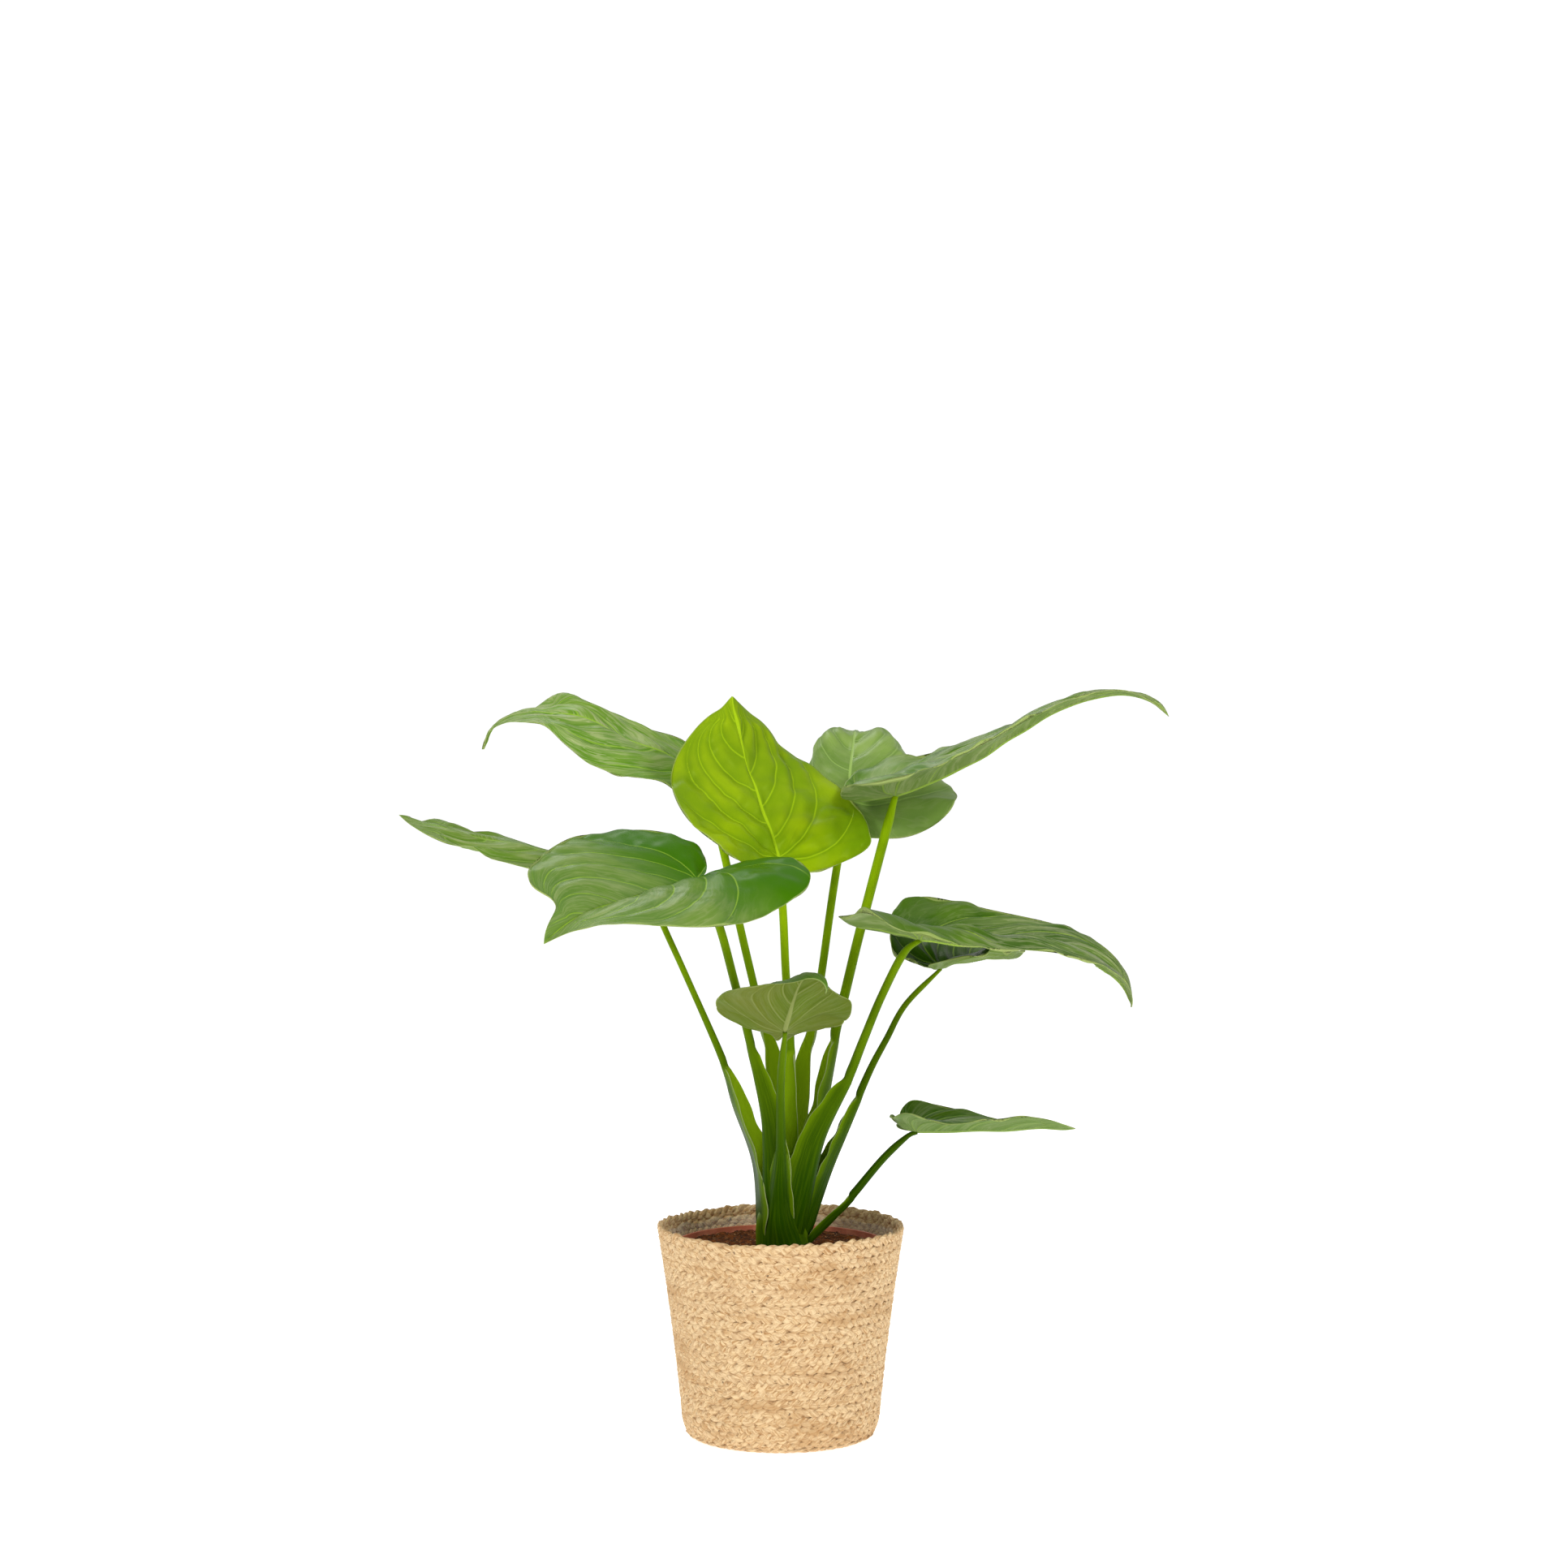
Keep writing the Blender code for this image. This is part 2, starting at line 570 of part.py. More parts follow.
def build_stem(group, finish):
    """Short stem: an upright elliptic plug with a domed head."""
    profile = [
        (0.0, STEM_TOP),
        (0.45 * STEM_HALF_WIDTH, STEM_TOP - 3 * MM),
        (0.8 * STEM_HALF_WIDTH, STEM_TOP - 12 * MM),
        (STEM_HALF_WIDTH, STEM_SHOULDER),
        (STEM_HALF_WIDTH, STEM_FOOT),
        (0.0, STEM_FOOT),
    ]
    stem = turned("stalks", profile, group, finish)
    stem.modifiers["Turn"].steps = 28
    stem.modifiers["Turn"].render_steps = 28
    stem.location = (STEM_X, STEM_Y, 0.0)
    stem.scale = (1.0, STEM_HALF_DEPTH / STEM_HALF_WIDTH, 1.0)
    return stem


def build_stalks(group, root):
    """All ten stalks, grown together with the stem in one body."""
    finish = material("Green stalk", (0.17, 0.33, 0.04), 0.4)
    stem = build_stem(group, finish)
    pieces = collection("Stalk pieces", root)
    for name, leaf in LEAVES.items():
        add_object("stalk_" + name, stalk_mesh("stalk_" + name, leaf), pieces, None)
    join = stem.modifiers.new("Join stalks", "BOOLEAN")
    join.operation = "UNION"
    join.operand_type = "COLLECTION"
    join.solver = "MANIFOLD"
    join.collection = pieces
    bpy.context.view_layer.update()
    graph = bpy.context.evaluated_depsgraph_get()
    joined = bpy.data.meshes.new_from_object(stem.evaluated_get(graph), depsgraph=graph)
    stem.modifiers.clear()
    stem.data = joined
    tidy_body(joined)
    for piece in list(pieces.objects):
        bpy.data.objects.remove(piece, do_unlink=True)
    bpy.data.collections.remove(pieces)
    return stem


def tidy_body(mesh):
    """Weld slivers and keep the one largest connected body."""
    made = bmesh.new()
    made.from_mesh(mesh)
    bmesh.ops.triangulate(made, faces=made.faces)
    left = set(made.verts)
    islands = []
    while left:
        stack = [left.pop()]
        island = set(stack)
        while stack:
            for edge in stack.pop().link_edges:
                for vert in edge.verts:
                    if vert in left:
                        left.remove(vert)
                        island.add(vert)
                        stack.append(vert)
        islands.append(island)
    islands.sort(key=len, reverse=True)
    for island in islands[1:]:
        bmesh.ops.delete(made, geom=list(island), context="VERTS")
    made.to_mesh(mesh)
    made.free()
    for face in mesh.polygons:
        face.use_smooth = True


def local_change(theta, bumps):
    """Sum of smooth local bumps of the margin, each (degrees from the tip, width in degrees, mm)."""
    total = np.zeros_like(theta)
    for middle, width, size in bumps:
        total = total + size * np.exp(-((theta - math.radians(middle)) / math.radians(width)) ** 2)
    return total


def blade_outline(theta, leaf):
    """Distance from the junction to the margin at an angle from the midrib, in mm."""
    left = theta >= 0
    turn = np.abs(theta)
    half_width = np.where(left, leaf["width_left"], leaf["width_right"])
    lobe = np.where(left, leaf["lobe_left"], leaf["lobe_right"])
    along = np.where(np.cos(turn) > 0, leaf["length"] * (1 - leaf["drip_tip"]), lobe)
    round_part = (np.abs(np.cos(turn)) / along) ** 2.3 + (np.abs(np.sin(turn)) / half_width) ** 2.3
    reach = round_part ** (-1 / 2.3)
    reach = reach + leaf["drip_tip"] * leaf["length"] * np.exp(-turn / 0.13)
    reach = reach + local_change(theta, leaf["margin_out"])
    return reach * (1 - 0.88 * np.exp(-((math.pi - turn) / 0.22) ** 2))


def midrib(leaf, along):
    """Place and frame (left, up) on the bent midrib at shares of the leaf's length."""
    share = np.linspace(-0.6, 1.15, 176)
    ahead = np.clip(share, 0, None)
    behind = np.clip(share, None, 0)
    rise = leaf["rise"] - leaf["droop"] * ahead - leaf["hook"] * ahead ** 4 - leaf["lobe_droop"] * behind
    rise = np.radians(rise)
    bearing = np.radians(leaf["bearing"] + leaf["swing"] * ahead)
    roll = np.radians(leaf["roll"] + leaf["twist"] * ahead)[:, None]
    flat = np.cos(rise)
    ways = np.stack([flat * np.cos(bearing), flat * np.sin(bearing), np.sin(rise)], axis=-1)
    up = np.stack([-np.sin(rise) * np.cos(bearing), -np.sin(rise) * np.sin(bearing), flat], axis=-1)
    left = np.cross(up, ways)
    rolled_left = np.cos(roll) * left + np.sin(roll) * up
    rolled_up = np.cos(roll) * up - np.sin(roll) * left
    step = (share[1] - share[0]) * leaf["length"]
    line = np.concatenate([np.zeros((1, 3)), np.cumsum((ways[1:] + ways[:-1]) / 2 * step, axis=0)])
    start = np.array([np.interp(0, share, line[:, k]) for k in range(3)])
    found = []
    for table in (line - start, rolled_left, rolled_up):
        found.append(np.stack([np.interp(along, share, table[:, k]) for k in range(3)], axis=-1))
    return found


def blade_points(radial, theta, leaf):
    """Points of the blade's middle surface in mm.

    The outline is drawn flat, folded up along the midrib by an angle that changes towards the
    tip and across each half, bent along the midrib, and waved at the margin.
    """
    theta = np.mod(theta + math.pi, math.tau) - math.pi
    reach = radial * blade_outline(theta, leaf)
    along = reach * np.cos(theta) / leaf["length"]
    across = np.abs(reach * np.sin(theta))
    left = theta >= 0
    half_width = np.where(left, leaf["width_left"], leaf["width_right"])
    share = np.clip(along, 0, 1)
    fold = np.where(left, leaf["fold_left"], leaf["fold_right"])
    opened = np.where(left, leaf["open_left"], leaf["open_right"])
    curl = np.radians(np.where(left, leaf["curl_left"], leaf["curl_right"])) / half_width
    start = np.radians(fold + (opened - fold) * share)
    lean = start + curl * across
    sideways = (np.sin(lean) - np.sin(start)) / curl
    raised = (np.cos(start) - np.cos(lean)) / curl
    turn = np.abs(theta)
    size = np.where(left, leaf["wave_left"], leaf["wave_right"])
    count = np.where(left, leaf["waves_left"], leaf["waves_right"])
    phase = np.radians(np.where(left, leaf["phase_left"], leaf["phase_right"]))
    fade = np.clip(turn / 0.25, 0, 1) * np.clip((math.pi - turn) / 0.4, 0, 1)
    wave = size * np.sin(count * turn + phase) * radial ** 3 * fade
    wave = wave + local_change(theta, leaf["margin_up"]) * radial ** 3
    sideways = sideways - wave * np.sin(lean)
    raised = raised + wave * np.cos(lean)
    raised = raised + leaf["channel"] * ease(share / 0.6) * (1 - np.exp(-(across / 22) ** 2))
    line, side, up = midrib(leaf, along)
    sign = np.where(left, 1.0, -1.0)
    return line + (sign * sideways)[..., None] * side + raised[..., None] * up


def blade_normals(radial, theta, leaf):
    """Unit normals of the blade, on its upper side."""
    small = 0.01
    outward = blade_points(radial + small, theta, leaf) - blade_points(radial - small, theta, leaf)
    round_it = blade_points(radial, theta + small, leaf) - blade_points(radial, theta - small, leaf)
    normal = np.cross(outward, round_it)
    return normal / np.linalg.norm(normal, axis=-1)[..., None]


def blade_mesh(name, leaf):
    """Closed blade of even thickness, split alike on both faces."""
    theta = np.linspace(-math.pi, math.pi, BLADE_SPOKES, endpoint=False)
    radial = np.array(BLADE_RINGS)
    radial, theta = np.meshgrid(radial, theta, indexing="ij")
    points = blade_points(radial, theta, leaf)
    normals = blade_normals(radial, theta, leaf)
    junction = np.zeros(3)
    centre_normal = normals[0].mean(axis=0)
    centre_normal = centre_normal / np.linalg.norm(centre_normal)
    shift = np.array(leaf["junction"])
    half = BLADE / MM / 2
    made = bmesh.new()
    faces = []
    for sign in (1.0, -1.0):
        hub = made.verts.new(Vector((junction + sign * half * centre_normal + shift) * MM))
        grid = (points + sign * half * normals + shift) * MM
        faces.append((hub, [[made.verts.new(Vector(p)) for p in ring] for ring in grid]))
    for (hub, rings), flip in zip(faces, (False, True)):
        triangles = []
        for k in range(BLADE_SPOKES):
            n = (k + 1) % BLADE_SPOKES
            triangles.append((hub, rings[0][k], rings[0][n]))
            for low, high in zip(rings, rings[1:]):
                triangles.append((low[k], high[k], high[n]))
                triangles.append((low[k], high[n], low[n]))
        for triangle in triangles:
            made.faces.new(triangle[::-1] if flip else triangle)
    top, bottom = faces[0][1][-1], faces[1][1][-1]
    for k in range(BLADE_SPOKES):
        n = (k + 1) % BLADE_SPOKES
        made.faces.new((top[n], top[k], bottom[k]))
        made.faces.new((top[n], bottom[k], bottom[n]))
    mesh = bpy.data.meshes.new(name)
    made.to_mesh(mesh)
    made.free()
    return mesh


def build_blades(group):
    """One thin, folded and waved blade for each leaf."""
    for name, leaf in LEAVES.items():
        node = "blade_" + name
        finish = material("Leaf " + name.replace("_", " "), leaf["colour"], 0.35)
        add_object(node, blade_mesh(node, leaf), group, finish)


def main():
    """Build every sub-part."""
    clear_scene()
    root = bpy.context.scene.collection
    taro = collection("potted_chinese_taro", root)
    cutters = collection("Cutters", root)
    cutters.hide_render = True
    build_basket(taro)
    build_liner(taro)
    build_pot(taro, cutters)
    build_soil(taro, cutters)
    build_stalks(taro, root)
    build_blades(taro)


main()
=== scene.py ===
"""A potted Chinese taro: veined leaves on sheathed stalks, in a nursery pot in a basket of plaited rope.

Metres, +Z up. The centre of the basket's underside is the origin, and -Y is the front.
"""

import math

import bpy
import numpy as np
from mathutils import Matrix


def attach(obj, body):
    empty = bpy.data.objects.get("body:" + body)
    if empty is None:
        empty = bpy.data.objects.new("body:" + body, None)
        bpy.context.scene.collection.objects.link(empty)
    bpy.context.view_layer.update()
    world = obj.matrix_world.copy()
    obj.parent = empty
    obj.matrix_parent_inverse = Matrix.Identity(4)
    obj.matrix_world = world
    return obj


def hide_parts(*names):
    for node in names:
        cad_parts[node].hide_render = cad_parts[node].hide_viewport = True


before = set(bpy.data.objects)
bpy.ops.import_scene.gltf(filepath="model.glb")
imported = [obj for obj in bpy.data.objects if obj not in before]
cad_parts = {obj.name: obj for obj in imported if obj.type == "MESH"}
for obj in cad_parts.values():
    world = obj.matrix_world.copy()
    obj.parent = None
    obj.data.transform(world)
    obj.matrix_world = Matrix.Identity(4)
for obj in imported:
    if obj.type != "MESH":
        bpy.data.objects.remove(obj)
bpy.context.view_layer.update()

MM = 0.001
NO_TRIANGLES = np.zeros((0, 3), int)

# Basket: a coiled plait, row on row
BASKET_TOP = 207.0
BASKET_TOP_RADIUS = 121.0
BASKET_FOOT_RADIUS = 97.5
BASKET_FOOT_HEIGHT = 26.0
BASKET_BASE_RADIUS = 86.0
BASKET_WALL = 8.0
BASKET_FLARE = 0.75
CORE_HEIGHTS = (202.0, 12.0)
CORE_OUTSIDE = 2.1
CORE_INSIDE = 2.7
CORE_FLOOR_RADIUS = 84.0
CORE_FLOOR = (2.6, 7.4)
CORE_STEPS = 72
ROW_PITCH = 8.6
ROW_PROUD = 0.7
RIM_SWAY = 0.7
ROW_SWAY = 0.25
PLAIT_PERIOD = 28.0
PLAIT_SWAY = 2.5
PLAIT_DEPTH = 1.3
STRAND_HALF_WIDTH = 3.5
STRAND_HALF_DEPTH = 1.5
STRAND_SIDES = 7
STRAND_STEPS = 12
STRAND_ANGLES = (np.arange(STRAND_SIDES) + 0.5) / STRAND_SIDES * math.tau
FIRST_ROWS = {
    "basket_upper_rows": 0,
    "basket_middle_rows": 8,
    "basket_lower_rows": 16,
    "basket_base_rows": 26,
}
STRAY_FIBRES = 190
FIBRE_REACH = 190.0
FIBRE_LENGTHS = (4.0, 10.0)
FIBRE_RADIUS = 0.2
FIBRE_POINTS = 6
FIBRE_SIDES = 3

# Clear film liner
FILM_TOP = 199.0
FILM_TOP_RADIUS = 111.0
FILM_BASE_RADIUS = 85.5
FILM_FLOOR = 8.3
FILM_MIDDLE = 100.0
FILM_GAP = 1.2
FILM = 0.6
FILM_STEPS = 180
FILM_UNROLLED = 108.0

# Nursery pot
POT_TOP = 190.0
POT_LIP_RADIUS = 104.5
POT_LIP_HEIGHT = 16.0
POT_LIP_STEP = 3.0
POT_BASE_RADIUS = 76.0
POT_WALL = 1.6
POT_FLOOR = 9.4
POT_DRAINS = 6
POT_DRAIN_RADIUS = 6.0
POT_DRAIN_CIRCLE = 52.0
POT_STEPS = 120

# Soil
SOIL_TOP = 185.0
SOIL_GAP = 0.3
SOIL_EDGE = 102.0
SOIL_STEPS = 240
SOIL_RINGS = 44
SOIL_CHIPS = 1500
CHIP_REACH = 99.0

# Stem, as an ellipse in plan
STEM_X = 5.0
STEM_Y = -1.0
STEM_HALF_WIDTH = 28.0
STEM_HALF_DEPTH = 24.0
STEM_FOOT = 150.0
STEM_SHOULDER = 186.0
STEM_TOP = 216.0
STEM_NECK = 24.0
STEM_STEPS = 64

# The front stalk's sheath clasps the whole clump at the soil
CLASPING = "front_small"
CLASP_TOP = 96.0
CLASP_WIDTH = 45.0
CLASP_WRAP = 95.0
CLASP_FORWARD = 10.0

# Leaf blades and stalks
BLADE = 0.8
BLADE_SPOKES = 200
BLADE_RINGS = 42
BLADE_ROUNDNESS = 2.3
DRIP_WIDTH = 0.13
NOTCH_DEPTH = 0.88
NOTCH_WIDTH = 0.22
RIB_WIDTHS = (0.5, 2.0)
ROUTE_BASE = 181.0
VEIN_LEAN = 0.62
VEIN_BEND = 1.0
VEIN_SPACING = 0.21
VEIN_FAN = math.radians(42)
STALK_SIDES = 28
STALK_RINGS = 96
STALK_SEAT = 1.2
SHEATH_THIN = 0.35

# Seeds of the random draws; rows, stalks and blades add their own number
ROW_SEED = 100
FIBRE_SEED = 7
FILM_SEED = 3
SOIL_SEED = 21
CHIP_SEED = 11
STALK_SEED = 500
BLADE_SEED = 300

# Camera: place in metres, degrees down, lens and sensor in mm
CAMERA_PLACE = (0.0032, -3.9513, 0.8927)
CAMERA_PITCH_DOWN = 3.64
CAMERA_LENS = 93.17
CAMERA_SENSOR = 36

# Lights: place, size and power
LIGHTS = {
    "key": ((-1.5, -1.7, 2.1), 0.55, 32),
    "fill": ((1.7, -1.6, 1.6), 0.8, 25),
    "back": ((-0.6, 1.9, 2.2), 1.2, 12),
}
LIGHT_AIM = (0.0, 0.0, 0.4)

# Each stalk: its route in mm as (x, y, height above the route base), the way its back faces, its
# radius under the blade, how much it swells towards the stem, the height its sheath reaches, the
# arc lengths of the sheath's left and right wings, seen from outside, and the degrees by which
# each wing wraps round.
# Each blade: degrees and mm. A pair is (left, right), seen from the stalk towards the leaf's tip.
# relief is how deep the skin is quilted and frill how much the margin is frilled. even goes from 0
# (finely creased between the veins) to 1 (smooth, with soft dents). margin_out and margin_up are local
# bumps of the margin, outwards and upwards, each (degrees from the tip, width in degrees, mm). channel
# is the depth of a groove along the midrib.
LEAVES = {
    "upper_left": {
        "route": [
            (-5, 10, -14), (-8, 14, 6), (-8, 25, 93), (-10, 38, 184),
            (-16, 44, 213), (-28, 54, 262), (-41, 67, 316), (-58, 87, 391),
        ],
        "faces": 130, "radius": 4.0, "swell": 2.5, "sheath_top": 225, "wings": (26, 26), "wrap": 55,
        "junction": (-77, 104, 646), "bearing": 182, "rise": 25, "roll": -5, "droop": -1,
        "hook": 108, "lobe_droop": 17, "swing": -18, "twist": 0, "length": 257, "drip_tip": 0.32,
        "fold": (-9, 10), "open": (-21, 10), "curl": (-19, -14), "width": (68, 88), "lobe": (44, 44),
        "wave": (8.0, 3.6), "waves": (6.1, 6.7), "phase": (65, -5),
        "relief": 2.6, "frill": 2.5, "even": 0.15,
        "margin_up": [(15, 3.5, 6), (28, 5, -2.5), (-9, 3.5, -8), (-18, 3.5, 3)],
    },
    "lower_left": {
        "route": [
            (-11, -2, -14), (-16, -2, 6), (-22, -7, 86), (-43, -11, 147),
            (-56, -14, 190), (-93, -18, 276), (-112, -17, 318),
        ],
        "faces": 155, "radius": 3.1, "swell": 4.5, "sheath_top": 192, "wings": (26, 30), "wrap": 65,
        "junction": (-137, -14, 558), "bearing": 188, "rise": 13, "roll": -14, "droop": 4,
        "hook": -12, "lobe_droop": 38, "swing": -7, "twist": 9, "length": 240, "drip_tip": 0.16,
        "fold": (3, -30), "open": (-20, 11), "curl": (-7, -4), "width": (56, 57), "lobe": (50, 46),
        "wave": (3.5, 0.3), "waves": (5.5, 5.4), "phase": (25, 70),
        "relief": 1.8, "frill": 3.0, "even": 0.2,
        "margin_up": [
            (-4, 1.5, -5), (-12, 1.8, -6), (-17, 1.5, 3),
            (-20.5, 1.5, -4), (-30, 5, 3), (13.5, 2, 6),
        ],
    },
    "front_left": {
        "route": [
            (-7, -8, -14), (-11, -10, 6), (-12, -34, 107), (-16, -45, 152),
            (-32, -65, 226), (-44, -79, 274), (-60, -98, 335),
        ],
        "faces": 225, "radius": 4.1, "swell": 3.5, "sheath_top": 215, "wings": (20, 30), "wrap": 60,
        "junction": (-80, -115, 558), "bearing": 238, "rise": -7, "roll": -7, "droop": -7,
        "hook": 40, "lobe_droop": 3, "swing": -12, "twist": -7, "length": 228, "drip_tip": 0.16,
        "fold": (32, 28), "open": (19, 30), "curl": (-63, -28), "width": (115, 115), "lobe": (81, 58),
        "wave": (3.8, 1.8), "waves": (3.4, 6.0), "phase": (40, 55),
        "relief": 1.7, "frill": 1.6, "even": 0.55,
        "margin_out": [(-22, 7, 7), (-8, 5, -16), (-5, 2.5, -6), (-165, 11, -22)],
    },
    "young": {
        "route": [
            (3, 0, -14), (2, 1, 6), (7, 1, 90), (9, 1, 167),
            (9, 1, 217), (5, 1, 274), (2, 2, 338),
        ],
        "faces": 80, "radius": 4.0, "swell": 2.5, "sheath_top": 205, "wings": (20, 22), "wrap": 70,
        "junction": (-2, 5, 569), "bearing": 124, "rise": 62, "roll": 10, "droop": 6,
        "hook": -30, "lobe_droop": -30, "swing": 13, "twist": -19, "length": 173, "drip_tip": 0.11,
        "fold": (12, 46), "open": (-47, -19), "curl": (1, -27), "width": (98, 100), "lobe": (20, 25),
        "wave": (2.3, 3.6), "waves": (4.3, 4.8), "phase": (-35, 120),
        "relief": 3.2, "frill": 1.0, "even": 0.9,
        "margin_out": [(-24, 8, -6), (35, 12, 3), (4, 3, -2), (-92, 14, -4)],
    },
    "back": {
        "route": [
            (5, 10, -14), (5, 14, 6), (15, 32, 95), (24, 45, 183),
            (31, 51, 210), (41, 63, 271), (49, 75, 327), (56, 86, 372),
        ],
        "faces": 65, "radius": 4.0, "swell": 2.5, "sheath_top": 225, "wings": (22, 22), "wrap": 60,
        "junction": (67, 102, 619), "bearing": 84, "rise": 47, "roll": 0, "droop": 54,
        "hook": 4, "lobe_droop": 11, "swing": 3.5, "twist": 2.5, "length": 192, "drip_tip": 0.21,
        "fold": (-2, 11), "open": (-19, -50), "curl": (-84, -27), "width": (98, 112), "lobe": (49, 54),
        "wave": (3.6, 3.4), "waves": (5.6, 5.6), "phase": (35, -70),
        "relief": 1.8, "frill": 1.8, "even": 0.65,
        "margin_out": [(-102, 18, -7)],
        "margin_up": [(-35, 12, -15.5), (-14, 9, 4), (12, 9, -9), (32, 12, -7)],
        "channel": 24,
    },
    "upper_right": {
        "route": [
            (11, 5, -14), (13, 7, 6), (29, 12, 85), (43, 16, 158),
            (54, 19, 216), (63, 20, 252), (79, 23, 318),
        ],
        "faces": 15, "radius": 4.8, "swell": 4.0, "sheath_top": 215, "wings": (30, 26), "wrap": 60,
        "junction": (112, 24, 629), "bearing": -3, "rise": 19, "roll": -14, "droop": -38,
        "hook": 112, "lobe_droop": -80, "swing": -12, "twist": 4, "length": 299, "drip_tip": 0.24,
        "fold": (42, 19), "open": (9, -1), "curl": (-21, -40), "width": (97, 103), "lobe": (55, 54),
        "wave": (0.0, 0.7), "waves": (4.1, 3.1), "phase": (-95, 85),
        "relief": 2.4, "frill": 3.0, "even": 0.1,
    },
    "right": {
        "route": [
            (10, -8, -14), (12, -11, 6), (24, -19, 60), (38, -29, 118),
            (65, -40, 176), (80, -48, 215), (97, -57, 258), (118, -67, 301),
        ],
        "faces": -40, "radius": 4.0, "swell": 4.5, "sheath_top": 182, "wings": (36, 26), "wrap": 60,
        "junction": (134, -72, 497), "bearing": -6, "rise": -5, "roll": -9, "droop": -10,
        "hook": 91, "lobe_droop": -8, "swing": -2, "twist": -3, "length": 227, "drip_tip": 0.1,
        "fold": (24, 27), "open": (15, 6), "curl": (8, -54), "width": (96, 101), "lobe": (42, 76),
        "wave": (1.5, 2.1), "waves": (4.8, 3.9), "phase": (45, -5),
        "relief": 2.4, "frill": 2.6, "even": 0.15,
        "margin_out": [(-152, 7, 7), (142, 22, -12)],
        "margin_up": [(-115, 14, 6.5)],
    },
    "right_back": {
        "route": [
            (16, -1, -14), (20, -1, 6), (32, 1, 42), (46, 4, 81),
            (64, 8, 123), (87, 13, 176), (104, 16, 208), (123, 19, 242),
        ],
        "faces": 5, "radius": 2.8, "swell": 4.5, "sheath_top": 157, "wings": (26, 24), "wrap": 70,
        "junction": (158, 24, 459), "bearing": 56, "rise": 2, "roll": 9, "droop": 2,
        "hook": 10, "lobe_droop": -12, "swing": -1, "twist": -4, "length": 137, "drip_tip": 0.17,
        "fold": (33, 38), "open": (17, 8), "curl": (-10, -8), "width": (62, 62), "lobe": (49, 48),
        "wave": (2.9, 2.9), "waves": (4.5, 4.6), "phase": (-10, 5),
        "relief": 2.0, "frill": 2.8, "even": 0.3,
        "margin_up": [(-103, 26, -10)],
    },
    "front_small": {
        "route": [(2, -11, -14), (1, -14, 6), (-3, -28, 42), (0, -48, 109), (0, -71, 176)],
        "faces": 265, "radius": 3.1, "swell": 4.0, "sheath_top": 110, "wings": (24, 24), "wrap": 60,
        "junction": (4, -93, 410), "bearing": -79, "rise": 49, "roll": 4, "droop": -37,
        "hook": 223, "lobe_droop": -56, "swing": 54, "twist": -9, "length": 108, "drip_tip": 0.23,
        "fold": (45, 44), "open": (-42, -15), "curl": (-70, -18), "width": (67, 71), "lobe": (33, 22),
        "wave": (2.2, 4.7), "waves": (3.3, 4.7), "phase": (-25, 145),
        "relief": 1.6, "frill": 1.4, "even": 0.4,
    },
    "low_small": {
        "route": [
            (19, -3, -14), (24, -4, 6), (47, -7, 33),
            (68, -10, 55), (100, -14, 94), (123, -17, 116),
        ],
        "faces": -20, "radius": 2.4, "swell": 2.5, "sheath_top": 58, "wings": (12, 12), "wrap": 60,
        "junction": (133, -18, 303), "bearing": -10, "rise": 1, "roll": -20, "droop": -6,
        "hook": 8, "lobe_droop": -6, "swing": 1, "twist": -6, "length": 155, "drip_tip": 0.18,
        "fold": (55, 28), "open": (4, 6), "curl": (5, -45), "width": (40, 44), "lobe": (26, 26),
        "wave": (0.0, 4.2), "waves": (4.3, 4.5), "phase": (-60, 40),
        "relief": 1.2, "frill": 2.4, "even": 0.1,
        "margin_out": [(145, 16, -7)],
        "margin_up": [(-140, 22, 9), (105, 12, 3)],
    },
}


